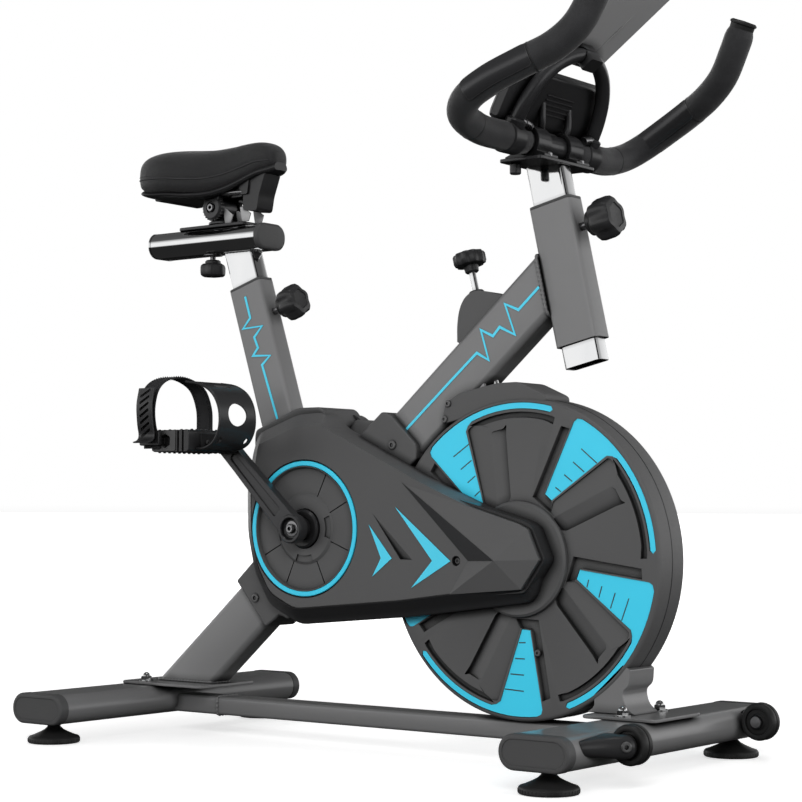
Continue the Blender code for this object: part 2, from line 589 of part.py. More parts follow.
# Saddle outline stations: x, half width, skirt height, crown height
saddleStations = [(-0.4250, 0.036, 0.7850, 0.8040), (-0.4210, 0.0560, 0.7790, 0.8170), (-0.4080, 0.0720, 0.7740, 0.8260),
                  (-0.3850, 0.0800, 0.7705, 0.8300), (-0.3600, 0.0780, 0.7690, 0.8300), (-0.3350, 0.0660, 0.7690, 0.8280),
                  (-0.3080, 0.0490, 0.7715, 0.8270), (-0.2820, 0.0370, 0.7780, 0.8290), (-0.2560, 0.0300, 0.7850, 0.8325),
                  (-0.2330, 0.0265, 0.7890, 0.8335), (-0.2140, 0.0230, 0.7910, 0.8290), (-0.2030, 0.0165, 0.7940, 0.8170)]


def saddleRing(half, low, high, across=22):
    ring = []
    for k in range(across):
        t = 2 * math.pi * k / across
        c, s = math.cos(t), math.sin(t)
        y = half * math.copysign(abs(c) ** 0.55, c)
        if s >= 0:
            z = low + (high - low) * (0.45 + 0.55 * s ** 0.75)
        else:
            z = low + (high - low) * 0.45 * (1 - abs(s) ** 0.35)
        ring.append((y, z))
    return ring


def loftX(name, kind, stations, pivot):
    bm = bmesh.new()
    rings = [[bm.verts.new((x, y, z)) for y, z in ring] for x, ring in stations]
    bm.faces.new(rings[0])
    bm.faces.new(rings[-1])
    for a, b in zip(rings, rings[1:]):
        for k in range(len(a)):
            j = (k + 1) % len(a)
            bm.faces.new((a[k], a[j], b[j], b[k]))
    return finish(name, bm, kind, pivot)


loftX("saddle_pad", "leather", [(x, saddleRing(h, lo, hi)) for x, h, lo, hi in saddleStations], clampPivot)
baseStations = []
for x, half, low, high in saddleStations[1:-1]:
    w, t = half - 0.006, low - gap
    thick = 0.0015 if x < -0.29 else 0.004
    baseStations.append((x, [(-w, t), (w, t), (w, t - thick), (0, t - thick), (-w, t - thick)]))
saddleBase = loftX("saddle_base", "plastic", baseStations, clampPivot)
nose = prism("nose_socket", None, [(-0.2515, 0.7350), (-0.2255, 0.7320), (-0.2215, 0.7560), (-0.2080, 0.7880),
                                   (-0.2480, 0.7830)], -0.0170, 0.0170)
boolean(saddleBase, nose, "UNION")

# Seat post and handlebar post knobs
seatKnobAt = seatTubeTop - seatUp * 0.048
lobed("seat_post_knob", "plastic", seatKnobAt, seatFront, 0.0245, 6, 0.050, 0.082, 0.0045, 0.0262, 0.046,
      pivot=seatKnobAt)
seatPinHole = rod("seat_pin_hole", None, seatKnobAt, seatFront, 0.0045 + gap, 0.020, 0.040, 24)
boolean(seatTube, seatPinHole)
headKnobAt = headTop - headUp * 0.038
lobed("handlebar_post_knob", "plastic", headKnobAt, headFront, 0.0270, 6, 0.047, 0.083, 0.0045, 0.0286, 0.043,
      pivot=headKnobAt)
headPinHole = rod("head_pin_hole", None, headKnobAt, headFront, 0.0045 + gap, 0.020, 0.040, 24)
boolean(headTube, headPinHole)

# Handlebar: post, clamp plate, bar, loop, console, device rest
plateZ = 0.7520
postCut = ((0, 0, plateZ - gap), Vector((0, 0, 1)))
bar("handlebar_post", "chrome", headTop - headUp * (headLength + 0.026), headTop + headUp * 0.06,
    rounded(0.0560, 0.0260, 0.0025), rounded(0.0520, 0.0220, 0.001), planes=(None, postCut), pivot=headTop)
bar("handlebar_clamp", "frame", (0.2400, 0, plateZ), (0.2400, 0, plateZ + 0.0042), rounded(0.064, 0.128, 0.006),
    pivot=headTop)
barZ = plateZ + 0.0042 + gap + barRadius
half = [(0.2400, 0.0, barZ), (0.2400, 0.045, barZ), (0.2400, 0.100, barZ), (0.2370, 0.146, barZ + 0.002),
        (0.2410, 0.186, barZ + 0.012), (0.2600, 0.205, barZ + 0.027), (0.2940, 0.206, barZ + 0.045),
        (0.3330, 0.197, barZ + 0.062), (0.3680, 0.185, barZ + 0.078), (0.3950, 0.177, barZ + 0.100),
        (0.4130, 0.172, barZ + 0.130), (0.4280, 0.170, barZ + 0.163)]
points = [(x, -y, z) for x, y, z in half[::-1]] + half[1:]
sweep("handlebar", "foam", smooth(points, 2), barRadius, 12, pivot=headTop)

loopSlope = math.radians(62)
loopFoot = Vector((0.2400, 0, barZ))
loopAlong = Vector((math.cos(loopSlope), 0, math.sin(loopSlope)))
loopBack = Vector((-math.sin(loopSlope), 0, math.cos(loopSlope)))
loopShape = [(0.0, 0.0870), (0.030, 0.0865), (0.052, 0.0830), (0.076, 0.0740), (0.098, 0.0580), (0.113, 0.0380),
             (0.121, 0.0180), (0.1230, 0.0)]
path = [loopFoot + loopAlong * s - acrossY * w for s, w in loopShape]
path += [loopFoot + loopAlong * s + acrossY * w for s, w in loopShape[-2::-1]]
loop = sweep("handlebar_loop", "frame", smooth(path, 2), loopRadius, 10, pivot=headTop)
loopBed = rod("loop_bed", None, (0.2400, 0, barZ), acrossY, barRadius + gap, -0.11, 0.11, 40)
boolean(loop, loopBed)

consoleAt = loopFoot + loopAlong * (barRadius + 0.0315) + loopBack * 0.0190
corners = []
for s, n in ((-0.036, 0.010), (-0.036, -0.005), (-0.030, -0.0085), (0.034, -0.0085), (0.038, -0.004), (0.038, 0.010)):
    p = consoleAt + loopAlong * s + loopBack * n
    corners.append((p.x, p.z))
prism("console", "plastic", corners, -0.105, 0.105, pivot=headTop)
restSlope = math.radians(35)
restAlong = Vector((math.cos(restSlope), 0, math.sin(restSlope)))
restBack = Vector((-math.sin(restSlope), 0, math.cos(restSlope)))
restPivot = loopFoot + loopAlong * 0.1230
restStart = restPivot + restBack * (loopRadius + 0.007) - restAlong * 0.020


def inRest(origin, pairs):
    return [((origin + restAlong * s + restBack * n).x, (origin + restAlong * s + restBack * n).z) for s, n in pairs]


lip = [(0.0, 0.0), (0.175, 0.0), (0.175, 0.005), (0.006, 0.005), (0.006, 0.015), (0.0, 0.015)]
rest = prism("device_rest", "grey", inRest(restStart, lip), -0.066, 0.066, pivot=restPivot)
stubLine = [(-0.010, 0.0), (0.010, 0.0), (0.010, 0.018), (-0.010, 0.018)]
stub = prism("rest_stub", None, inRest(restPivot, stubLine), -0.014, 0.014)
boolean(rest, stub, "UNION")
stubBed = rod("rest_bed", None, restPivot, acrossY, loopRadius + 0.0012, -0.03, 0.03, 40)
boolean(rest, stubBed)
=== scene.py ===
import json
from math import copysign, cos, exp, pi, radians, sin

import bmesh
import bpy
from mathutils import Matrix, Vector
from mathutils.bvhtree import BVHTree


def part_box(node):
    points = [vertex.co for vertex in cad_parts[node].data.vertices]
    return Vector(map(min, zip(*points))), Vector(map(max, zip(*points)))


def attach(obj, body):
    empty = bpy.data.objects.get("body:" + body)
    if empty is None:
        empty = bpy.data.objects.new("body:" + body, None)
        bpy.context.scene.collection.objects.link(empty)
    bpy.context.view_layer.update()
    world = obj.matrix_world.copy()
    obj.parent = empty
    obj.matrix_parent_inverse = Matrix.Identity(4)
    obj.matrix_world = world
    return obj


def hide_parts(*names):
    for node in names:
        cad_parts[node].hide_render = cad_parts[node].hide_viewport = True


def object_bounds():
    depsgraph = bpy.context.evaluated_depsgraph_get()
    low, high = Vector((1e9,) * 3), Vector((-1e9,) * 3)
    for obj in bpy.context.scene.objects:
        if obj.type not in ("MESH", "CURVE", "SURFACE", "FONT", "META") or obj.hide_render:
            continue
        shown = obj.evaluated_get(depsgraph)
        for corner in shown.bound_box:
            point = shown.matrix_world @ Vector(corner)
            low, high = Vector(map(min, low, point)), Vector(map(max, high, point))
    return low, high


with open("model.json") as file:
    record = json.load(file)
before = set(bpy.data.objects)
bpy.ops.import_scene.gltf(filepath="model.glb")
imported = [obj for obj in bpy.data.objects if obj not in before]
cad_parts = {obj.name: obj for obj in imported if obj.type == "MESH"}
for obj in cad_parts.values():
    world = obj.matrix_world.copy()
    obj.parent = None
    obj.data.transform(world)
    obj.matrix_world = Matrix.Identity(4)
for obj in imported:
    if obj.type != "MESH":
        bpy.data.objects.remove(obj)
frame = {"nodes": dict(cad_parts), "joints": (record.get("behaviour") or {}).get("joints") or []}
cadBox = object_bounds()
scene = bpy.context.scene
joints = {joint["name"]: joint for joint in frame["joints"]}
forward, across, up = Vector((1, 0, 0)), Vector((0, 1, 0)), Vector((0, 0, 1))
crankAt = Vector(joints["crank_spin"]["pos_m"])
flyAt = Vector(joints["flywheel_spin"]["pos_m"])
seatUp = Vector(joints["seat_height"]["axis"])
headUp = Vector(joints["bar_height"]["axis"])
seatFront, headFront = across.cross(seatUp), across.cross(headUp)
pressWay = -Vector(joints["brake_press"]["axis"])
sides = (("right", -1), ("left", 1))


# Node trees: one wrapper adds nodes to a material or to a geometry tree
class Wire:
    def __init__(self, tree, socket):
        self.tree = tree
        self.socket = socket

    def calc(self, operation, *others):
        values = dict(enumerate((self, *others)))
        return self.tree.wire("ShaderNodeMath", {"operation": operation}, values)

    def __add__(self, other):
        return self.calc("ADD", other)

    def __sub__(self, other):
        return self.calc("SUBTRACT", other)

    def __rsub__(self, other):
        return self * -1 + other

    def __mul__(self, other):
        return self.calc("MULTIPLY", other)

    __radd__ = __add__
    __rmul__ = __mul__


class Tree:
    def __init__(self, nodes, links):
        self.nodes = nodes
        self.links = links

    def node(self, kind, settings, values):
        made = self.nodes.new(kind)
        stops = settings.get("stops")
        for key, value in settings.items():
            if key != "stops":
                setattr(made, key, value)
        if stops:
            for place, shade in stops[2:]:
                made.color_ramp.elements.new(place)
            for stop, (place, shade) in zip(made.color_ramp.elements, stops):
                stop.position = place
                stop.color = (shade, shade, shade, 1)
        for key, value in values.items():
            if isinstance(value, Wire):
                self.links.new(value.socket, made.inputs[key])
            else:
                made.inputs[key].default_value = value
        return made

    def wire(self, kind, settings, values, output=0):
        return Wire(self, self.node(kind, settings, values).outputs[output])


class Finish(Tree):
    def __init__(self, name):
        self.material = bpy.data.materials.new(name)
        self.material.use_nodes = True
        tree = self.material.node_tree
        tree.nodes.clear()
        super().__init__(tree.nodes, tree.links)
        self.here = self.wire("ShaderNodeTexCoord", {}, {}, "Object")

    def noise(self, scale, detail=3, stretch=(1, 1, 1)):
        place = self.wire("ShaderNodeMapping", {}, {"Vector": self.here, "Scale": stretch})
        values = {"Vector": place, "Scale": scale, "Detail": detail}
        return self.wire("ShaderNodeTexNoise", {}, values, "Fac")

    def ramp(self, value, low, high):
        stops = ((low, 0), (high, 1))
        return self.wire("ShaderNodeValToRGB", {"stops": stops}, {"Fac": value}, "Color")

    # painted shade: the colour darkens where two surfaces meet, in the creases and under overhangs, where
    # shade would fall
    def paintedCreaseShade(self, reach, power):
        values = {"Distance": reach}
        return self.wire("ShaderNodeAmbientOcclusion", {"samples": 6}, values, "AO").calc("POWER", power)

    # the outward corners, where paint rubs thin and takes a lighter colour; on the frame paint they take a
    # darker one, a painted dark reflection along the rounded corners
    def corner(self, reach):
        settings = {"samples": 4, "inside": True, "only_local": True}
        inside = self.wire("ShaderNodeAmbientOcclusion", settings, {"Distance": reach}, "AO")
        return self.ramp(1 - inside, 0.30, 0.75)

    def mix(self, factor, a, b):
        def full(colour):
            return colour if isinstance(colour, Wire) else (*colour, 1)
        values = {0: factor, 6: full(a), 7: full(b)}
        return self.wire("ShaderNodeMix", {"data_type": "RGBA"}, values, 2)

    def tint(self, colour, amount):
        values = {0: colour, "Scale": amount}
        return self.wire("ShaderNodeVectorMath", {"operation": "SCALE"}, values)

    def bump(self, height, distance, strength=1.0):
        values = {"Height": height, "Distance": distance, "Strength": strength}
        return self.wire("ShaderNodeBump", {}, values)

    def shade(self, values):
        body = self.wire("ShaderNodeBsdfPrincipled", {}, values)
        self.node("ShaderNodeOutputMaterial", {}, {"Surface": body})
        return self.material


# Painted, moulded and rubber surfaces: a mottled ground, a fine grain, rubbed corners (on the frame paint a
# painted dark reflection instead) and painted shade in the creases
def coated(name, look):
    f = Finish(name)
    broad = f.noise(look.get("mottleScale", 14), 4)
    fine = f.noise(look["grainScale"], 2)
    scuff = f.ramp(f.noise(60, 6, (1, 1, 7)), 0.52, 0.74)
    # corners take the edge colour: rubbed wear where it is lighter, a painted dark reflection on the frame
    # paint where it is darker
    ground = f.mix(f.corner(0.0022) * look["wearAndReflection"], look["colour"], look["edge"])
    tone = broad * look["mottle"] + (1 - look["mottle"] / 2)
    # painted shade: the crease mask darkens the colour in creases and under overhangs
    colour = f.tint(ground, tone * f.paintedCreaseShade(look.get("paintedCreaseShadeReach", 0.014), look.get("paintedCreaseShadePower", 1.6)))
    rough = fine * look["roughRange"] + scuff * look.get("scuff", 0.08) + look["rough"]
    height = fine * look["grain"] + broad * look.get("wave", 0.2)
    return f.shade({"Base Color": colour, "Roughness": rough, "Metallic": look.get("metal", 0.0),
        "Coat Weight": look.get("coat", 0.0), "Coat Roughness": look.get("coatRough", 0.1),
        "Normal": f.bump(height, look.get("depth", 0.0001)),})


def chromeFinish():
    f = Finish("polishedChrome")
    smear = f.noise(35, 5, (1, 1, 0.25))
    hair = f.noise(900, 2, (1, 1, 0.06))
    colour = f.mix(smear, (0.78, 0.79, 0.80), (0.90, 0.90, 0.90))
    # painted shade darkens the chrome's colour in its creases
    return f.shade({"Base Color": f.tint(colour, f.paintedCreaseShade(0.006, 0.8)), "Metallic": 1.0,
        "Roughness": smear * 0.04 + hair * 0.04 + 0.03, "Normal": f.bump(hair, 0.000003),})


def turnedSteelFinish():
    f = Finish("turnedSteel")
    hair = f.noise(1500, 3, (1, 0.05, 1))
    stain = f.noise(30, 5)
    colour = f.mix(stain, (0.36, 0.36, 0.37), (0.56, 0.56, 0.57))
    # painted shade darkens the steel's colour in its creases
    return f.shade({"Base Color": f.tint(colour, f.paintedCreaseShade(0.006, 1.4)), "Metallic": 1.0,
        "Roughness": hair * 0.20 + 0.22, "Normal": f.bump(hair, 0.00004),})


def castIronFinish():
    f = Finish("castIron")
    sand = f.noise(700, 5)
    rust = f.ramp(f.noise(26, 6), 0.55, 0.80)
    colour = f.mix(rust * 0.5, (0.10, 0.10, 0.105), (0.16, 0.11, 0.08))
    return f.shade({"Base Color": f.tint(colour, sand * 0.5 + 0.75), "Metallic": 0.8,
        "Roughness": sand * 0.25 + 0.45, "Normal": f.bump(sand, 0.0004),})


# Closed-cell foam: fine pores over a soft, slightly pressed surface
def foamFinish():
    f = Finish("gripFoam")
    values = {"Vector": f.here, "Scale": 1100.0}
    pores = f.wire("ShaderNodeTexVoronoi", {}, values, "Distance")
    soft = f.noise(40, 4)
    colour = f.mix(soft, (0.018, 0.018, 0.019), (0.034, 0.034, 0.036))
    body = f.tint(colour, pores * 0.7 + 0.65)
    # painted shade darkens the foam's colour in its creases
    return f.shade({"Base Color": f.tint(body, f.paintedCreaseShade(0.012, 1.2)),
        "Roughness": 0.66 - soft * 0.16, "Sheen Weight": 0.35, "Sheen Roughness": 0.4,
        "Specular IOR Level": 0.45, "Normal": f.bump(pores * 0.8 + soft * 0.5, 0.00025),})


# Coated leather cloth: pebbles of a millimetre or so with finer wrinkles between them
def leatherFinish():
    f = Finish("saddleLeather")
    values = {"Vector": f.here, "Scale": 620.0}
    pebble = f.wire("ShaderNodeTexVoronoi", {"feature": "DISTANCE_TO_EDGE"}, values, "Distance")
    groove = f.ramp(pebble, 0.0, 0.18)
    wrinkle = f.noise(240, 6)
    rub = f.noise(16, 4)
    colour = f.mix(rub, (0.016, 0.016, 0.017), (0.030, 0.030, 0.031))
    return f.shade({"Base Color": f.tint(colour, groove * 0.35 + 0.65),
        "Roughness": 0.52 - groove * 0.12 + wrinkle * 0.12, "Sheen Weight": 0.2,
        "Sheen Roughness": 0.5, "Normal": f.bump(groove * 0.7 + wrinkle * 0.5, 0.00022),})


# Woven strap: over-and-under threads from two crossed waves
def webbingFinish():
    f = Finish("strapWebbing")
    place = f.wire("ShaderNodeMapping", {}, {"Vector": f.here, "Rotation": (0.6, 0.4, 0.78)})
    warp = f.wire("ShaderNodeTexWave", {"bands_direction": "X"}, {"Vector": place, "Scale": 190.0}, "Fac")
    weft = f.wire("ShaderNodeTexWave", {"bands_direction": "Z"}, {"Vector": place, "Scale": 190.0}, "Fac")
    weave = warp * (1 - weft) + weft * (1 - warp)
    fuzz = f.noise(1800, 3)
    colour = f.mix(weave, (0.010, 0.010, 0.011), (0.034, 0.034, 0.036))
    # painted shade darkens the webbing's colour in its creases
    return f.shade({"Base Color": f.tint(colour, f.paintedCreaseShade(0.01, 1.4)),
        "Roughness": 0.78 - weave * 0.15, "Normal": f.bump(weave * 0.8 + fuzz * 0.3, 0.0003),})


finishes = {
    # the frame paint's edge colour is darker than its ground: a painted dark reflection along the rounded
    # corners, not wear
    "paint": coated("framePaint", {
        "colour": (0.205, 0.205, 0.207), "edge": (0.055, 0.055, 0.057), "wearAndReflection": 0.70, "mottle": 0.10,
        "grainScale": 650, "grain": 0.5, "rough": 0.28, "roughRange": 0.10, "coat": 0.20, "coatRough": 0.14,
        "metal": 0.25, "depth": 0.00006, "paintedCreaseShadePower": 1.5}),
    "housing": coated("housingPlastic", {
        "colour": (0.092, 0.092, 0.093), "edge": (0.17, 0.17, 0.17), "wearAndReflection": 0.30, "mottle": 0.08,
        "grainScale": 1500, "grain": 1.0, "rough": 0.40, "roughRange": 0.12, "depth": 0.00010,
        "paintedCreaseShadePower": 2.4, "paintedCreaseShadeReach": 0.012}),
    "black": coated("blackPlastic", {
        "colour": (0.022, 0.022, 0.023), "edge": (0.075, 0.075, 0.078), "wearAndReflection": 0.35, "mottle": 0.15,
        "grainScale": 1300, "grain": 0.8, "rough": 0.30, "roughRange": 0.12, "coat": 0.15,
        "depth": 0.00008}),
    "greyCap": coated("capPlastic", {
        "colour": (0.066, 0.066, 0.067), "edge": (0.13, 0.13, 0.13), "wearAndReflection": 0.3, "mottle": 0.10,
        "grainScale": 1300, "grain": 1.0, "rough": 0.42, "roughRange": 0.14, "depth": 0.00010}),
    "panel": coated("panelPlastic", {
        "colour": (0.430, 0.430, 0.434), "edge": (0.52, 0.52, 0.52), "wearAndReflection": 0.3, "mottle": 0.07,
        "grainScale": 1500, "grain": 1.0, "rough": 0.44, "roughRange": 0.12, "depth": 0.00010}),
    "cyan": coated("cyanInlay", {
        "colour": (0.052, 0.720, 1.000), "edge": (0.25, 0.85, 1.00), "wearAndReflection": 0.2, "mottle": 0.08,
        "grainScale": 900, "grain": 0.6, "rough": 0.34, "roughRange": 0.10, "depth": 0.00005,
        "paintedCreaseShadePower": 0.5, "coat": 0.2}),
    "rubber": coated("mouldedRubber", {
        "colour": (0.016, 0.016, 0.016), "edge": (0.040, 0.040, 0.040), "wearAndReflection": 0.4, "mottle": 0.20,
        "grainScale": 1100, "grain": 1.0, "rough": 0.34, "roughRange": 0.22, "depth": 0.00012}),
    "blackSteel": coated("blackSteel", {
        "colour": (0.040, 0.040, 0.042), "edge": (0.20, 0.20, 0.20), "wearAndReflection": 0.55, "mottle": 0.12,
        "grainScale": 800, "grain": 0.6, "rough": 0.26, "roughRange": 0.12, "metal": 0.4, "coat": 0.3,
        "depth": 0.00006}),
    "chrome": chromeFinish(),
    "steel": turnedSteelFinish(),
    "iron": castIronFinish(),
    "foam": foamFinish(),
    "leather": leatherFinish(),
    "webbing": webbingFinish(),
}
kept = {"frame": "paint", "plastic": "housing", "grey": "panel", "chrome": "chrome", "steel": "steel",
        "iron": "iron", "rubber": "rubber", "foam": "foam", "leather": "leather"}
for node in frame["nodes"].values():
    for place in node.material_slots:
        place.material = finishes[kept[place.material.name.split(".")[0]]]
print("finishes made")


# Mesh helpers: each adds a form to a bmesh, in metres, in place
def ringAt(centre, u, v, outline):
    return [centre + u * a + v * b for a, b in outline]


def ovalBox(wide, high, radius, steps=6):
    points = []
    for sx, sy, start in ((1, 1, 0), (-1, 1, 90), (-1, -1, 180), (1, -1, 270)):
        for k in range(steps + 1):
            a = radians(start + 90 * k / steps)
            points.append((sx * (wide / 2 - radius) + radius * cos(a),
                sy * (high / 2 - radius) + radius * sin(a)))
    return points


def circle(radius, steps=32):
    return [(radius * cos(2 * pi * k / steps), radius * sin(2 * pi * k / steps)) for k in range(steps)]


def arc(cx, cy, radius, start, stop, steps=8):
    turns = [radians(start + (stop - start) * k / steps) for k in range(steps + 1)]
    return [(cx + radius * cos(a), cy + radius * sin(a)) for a in turns]


def addLoft(bm, rings, caps=True, loop=False):
    made = [[bm.verts.new(p) for p in ring] for ring in rings]
    pairs = list(zip(made, made[1:])) + ([(made[-1], made[0])] if loop else [])
    for a, b in pairs:
        for k in range(len(a)):
            j = (k + 1) % len(a)
            bm.faces.new((a[k], a[j], b[j], b[k]))
    if caps and not loop:
        bm.faces.new(made[0][::-1])
        bm.faces.new(made[-1])
    return made


def frameOf(axis):
    axis = Vector(axis).normalized()
    side = (across if abs(axis.y) < 0.9 else forward).cross(axis).normalized()
    return side, axis.cross(side)


# A turned form: the profile is (radius, distance along the axis), closed on itself
def addTurned(bm, profile, centre, axis, steps=48, lobes=0, lobeDepth=0.0):
    u, v = frameOf(axis)
    rings = []
    for radius, along in profile:
        ring = []
        for k in range(steps):
            a = 2 * pi * k / steps
            r = max(radius, 1e-5) * (1 - lobeDepth * (0.5 - 0.5 * cos(lobes * a)) if lobes else 1)
            ring.append(Vector(centre) + (u * cos(a) + v * sin(a)) * r + Vector(axis) * along)
        rings.append(ring)
    hollow = profile[0][0] > 1e-4
    addLoft(bm, rings, caps=not hollow, loop=hollow)


def addTube(bm, path, radius, sides=16, closed=False, flat=None):
    path = [Vector(p) for p in path]
    count = len(path)
    side = None
    rings = []
    for k, p in enumerate(path):
        ahead = path[(k + 1) % count if closed else min(k + 1, count - 1)]
        behind = path[k - 1 if closed else max(k - 1, 0)]
        way = (ahead - behind).normalized()
        if side is None:
            side = Vector(flat).cross(way).normalized() if flat else way.orthogonal().normalized()
        side = (side - way * side.dot(way)).normalized()
        size = radius[k] if isinstance(radius, list) else radius
        rings.append(ringAt(p, side, way.cross(side),
            circle(size, sides) if isinstance(size, float) else size))
    addLoft(bm, rings, caps=not closed, loop=closed)


def smoothPath(points, steps=5):
    pts = [Vector(p) for p in points]
    pts = [pts[0] * 2 - pts[1], *pts, pts[-1] * 2 - pts[-2]]
    path = []
    for k in range(1, len(pts) - 2):
        a, b, c, d = pts[k - 1:k + 3]
        for s in range(steps):
            t = s / steps
            path.append(0.5 * (2 * b + (c - a) * t + (2 * a - 5 * b + 4 * c - d) * t * t
                + (3 * b - a - 3 * c + d) * t ** 3))
    return path + [pts[-2]]


def shrink(outline, amount):
    pts = [Vector(p) for p in outline]
    turn = sum(a.x * b.y - b.x * a.y for a, b in zip(pts, pts[1:] + pts[:1]))
    sign = 1 if turn > 0 else -1
    result = []
    for k, p in enumerate(pts):
        n1 = (p - pts[k - 1]).orthogonal().normalized() * sign
        n2 = (pts[(k + 1) % len(pts)] - p).orthogonal().normalized() * sign
        result.append(tuple(p + (n1 + n2) / max(0.35, 1 + n1.dot(n2)) * amount))
    return result


# A flat outline given in (u, v), carried from low to high along the normal, with the inset of each level
def addSlab(bm, outline, origin, u, v, levels):
    n = u.cross(v)
    rings = [ringAt(origin + n * h, u, v, shrink(outline, lead) if lead else outline) for h, lead in levels]
    addLoft(bm, rings)


# An outline in the bike's side view, from y0 to y1
def addSide(bm, outline, y0, y1, lead=0.0):
    low, high = sorted((y0, y1))
    levels = [(low, lead), (low + lead, 0), (high - lead, 0),
        (high, lead)] if lead else [(low, 0), (high, 0)]
    rings = []
    for y, trim in levels:
        rings.append([Vector((x, y, z)) for x, z in (shrink(outline, trim) if trim else outline)])
    addLoft(bm, rings)


def rounded(outline, radius, steps=4):
    pts = [Vector(p) for p in outline]
    result = []
    for k, p in enumerate(pts):
        a = (pts[k - 1] - p)
        b = (pts[(k + 1) % len(pts)] - p)
        reach = min(radius, a.length * 0.45, b.length * 0.45)
        start, stop = p + a.normalized() * reach, p + b.normalized() * reach
        for s in range(steps + 1):
            t = s / steps
            result.append(tuple(start * (1 - t) ** 2 + p * 2 * t * (1 - t) + stop * t * t))
    return result


def rawPiece(name, bm):
    bmesh.ops.remove_doubles(bm, verts=bm.verts[:], dist=1e-6)
    bmesh.ops.recalc_face_normals(bm, faces=bm.faces[:])
    mesh = bpy.data.meshes.new(name)
    bm.to_mesh(mesh)
    bm.free()
    obj = bpy.data.objects.new(name, mesh)
    scene.collection.objects.link(obj)
    return obj


def bake(obj):
    shown = obj.evaluated_get(bpy.context.evaluated_depsgraph_get())
    made = bpy.data.meshes.new_from_object(shown)
    old = obj.data
    obj.modifiers.clear()
    obj.data = made
    bpy.data.meshes.remove(old)
    made.name = obj.name
    return obj


# Cuts or joins with closed forms, each given as a bmesh
def carve(obj, cutters, operation="DIFFERENCE"):
    made = [rawPiece(f"{obj.name}Cutter", bm) for bm in cutters]
    for cutter in made:
        mod = obj.modifiers.new("carve", "BOOLEAN")
        mod.operation = operation
        mod.solver = "EXACT"
        mod.object = cutter
    bake(obj)
    for cutter in made:
        mesh = cutter.data
        bpy.data.objects.remove(cutter)
        bpy.data.meshes.remove(mesh)
    return obj


def settle(obj, finish, body, replaces=(), bevel=0.0, steps=3, sharp=34):
    mesh = obj.data
    mesh.shade_smooth()
    mesh.set_sharp_from_angle(angle=radians(sharp))
    if bevel:
        mod = obj.modifiers.new("edges", "BEVEL")
        mod.width = bevel
        mod.segments = steps
        mod.limit_method = "ANGLE"
        mod.angle_limit = radians(sharp)
        mod.harden_normals = True
        bake(obj)
    obj.data.materials.clear()
    obj.data.materials.append(finishes[finish])
    if replaces:
        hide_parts(*replaces)
    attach(obj, body)
    return obj


def piece(name, bm, finish, body, replaces=(), **more):
    return settle(rawPiece(name, bm), finish, body, replaces, **more)


# A form is a bmesh that one of the helpers above, or a builder of a piece's own, has filled
def form(add, *values, **more):
    bm = bmesh.new()
    add(bm, *values, **more)
    return bm


# Geometry trees: screws on points, bars round a ring, beads along a path
class Growth(Tree):
    def __init__(self, name, inputs):
        self.group = bpy.data.node_groups.new(name, "GeometryNodeTree")
        face = self.group.interface
        face.new_socket("Geometry", in_out="INPUT", socket_type="NodeSocketGeometry")
        for label, kind, value in inputs:
            socket = face.new_socket(label, in_out="INPUT", socket_type=f"NodeSocket{kind}")
            if value is not None:
                socket.default_value = value
        face.new_socket("Geometry", in_out="OUTPUT", socket_type="NodeSocketGeometry")
        super().__init__(self.group.nodes, self.group.links)
        self.entry = self.nodes.new("NodeGroupInput")

    def given(self, label):
        return Wire(self, self.entry.outputs[label])

    def close(self, geometry):
        real = self.wire("GeometryNodeRealizeInstances", {}, {"Geometry": geometry})
        painted = self.wire("GeometryNodeSetMaterial", {},
            {"Geometry": real, "Material": self.given("Finish")})
        self.node("NodeGroupOutput", {}, {"Geometry": painted})
        return self.group


def rollOut(tree, x, y, z):
    return tree.wire("ShaderNodeCombineXYZ", {}, {"X": x, "Y": y, "Z": z})


# Each edge of the guide mesh, two points, carries one screw: it stands at the first and looks to the second
def screwGrowth():
    t = Growth("screwHeads", [("Radius", "Float", 0.004), ("Height", "Float", 0.002),
        ("Socket", "Float", 0.5), ("Finish", "Material", None)])
    radius, height = t.given("Radius"), t.given("Height")
    disc = t.wire("GeometryNodeMeshCylinder", {}, {"Vertices": 20, "Radius": radius, "Depth": height})
    lid = t.wire("GeometryNodeMeshCone", {},
        {"Vertices": 20, "Radius Top": radius * 0.78, "Radius Bottom": radius, "Depth": height * 0.35})
    lidUp = t.wire("GeometryNodeTransform", {},
        {"Geometry": lid, "Translation": rollOut(t, 0.0, 0.0, height * 0.5)})
    hexagon = t.wire("GeometryNodeMeshCylinder", {},
        {"Vertices": 6, "Radius": radius * t.given("Socket"), "Depth": height})
    hexUp = t.wire("GeometryNodeTransform", {},
        {"Geometry": hexagon, "Translation": rollOut(t, 0.0, 0.0, height * 0.65)})
    blank = t.node("GeometryNodeJoinGeometry", {}, {})
    t.links.new(disc.socket, blank.inputs[0])
    t.links.new(lidUp.socket, blank.inputs[0])
    head = t.node("GeometryNodeMeshBoolean", {"operation": "DIFFERENCE"}, {})
    t.links.new(blank.outputs[0], head.inputs[0])
    t.links.new(hexUp.socket, head.inputs[1])
    curve = t.wire("GeometryNodeMeshToCurve", {}, {"Mesh": t.given("Geometry")})
    starts = t.node("GeometryNodeCurveToPoints", {"mode": "COUNT"}, {"Curve": curve, "Count": 2})
    index = t.wire("GeometryNodeInputIndex", {}, {})
    odd = index.calc("MODULO", 2.0)
    turn = t.wire("FunctionNodeAlignRotationToVector", {"axis": "Z"},
        {"Vector": Wire(t, starts.outputs["Tangent"])})
    placed = t.wire("GeometryNodeInstanceOnPoints", {},
        {"Points": Wire(t, starts.outputs[0]), "Selection": 1 - odd,
        "Instance": Wire(t, head.outputs[0]), "Rotation": turn})
    return t.close(placed)


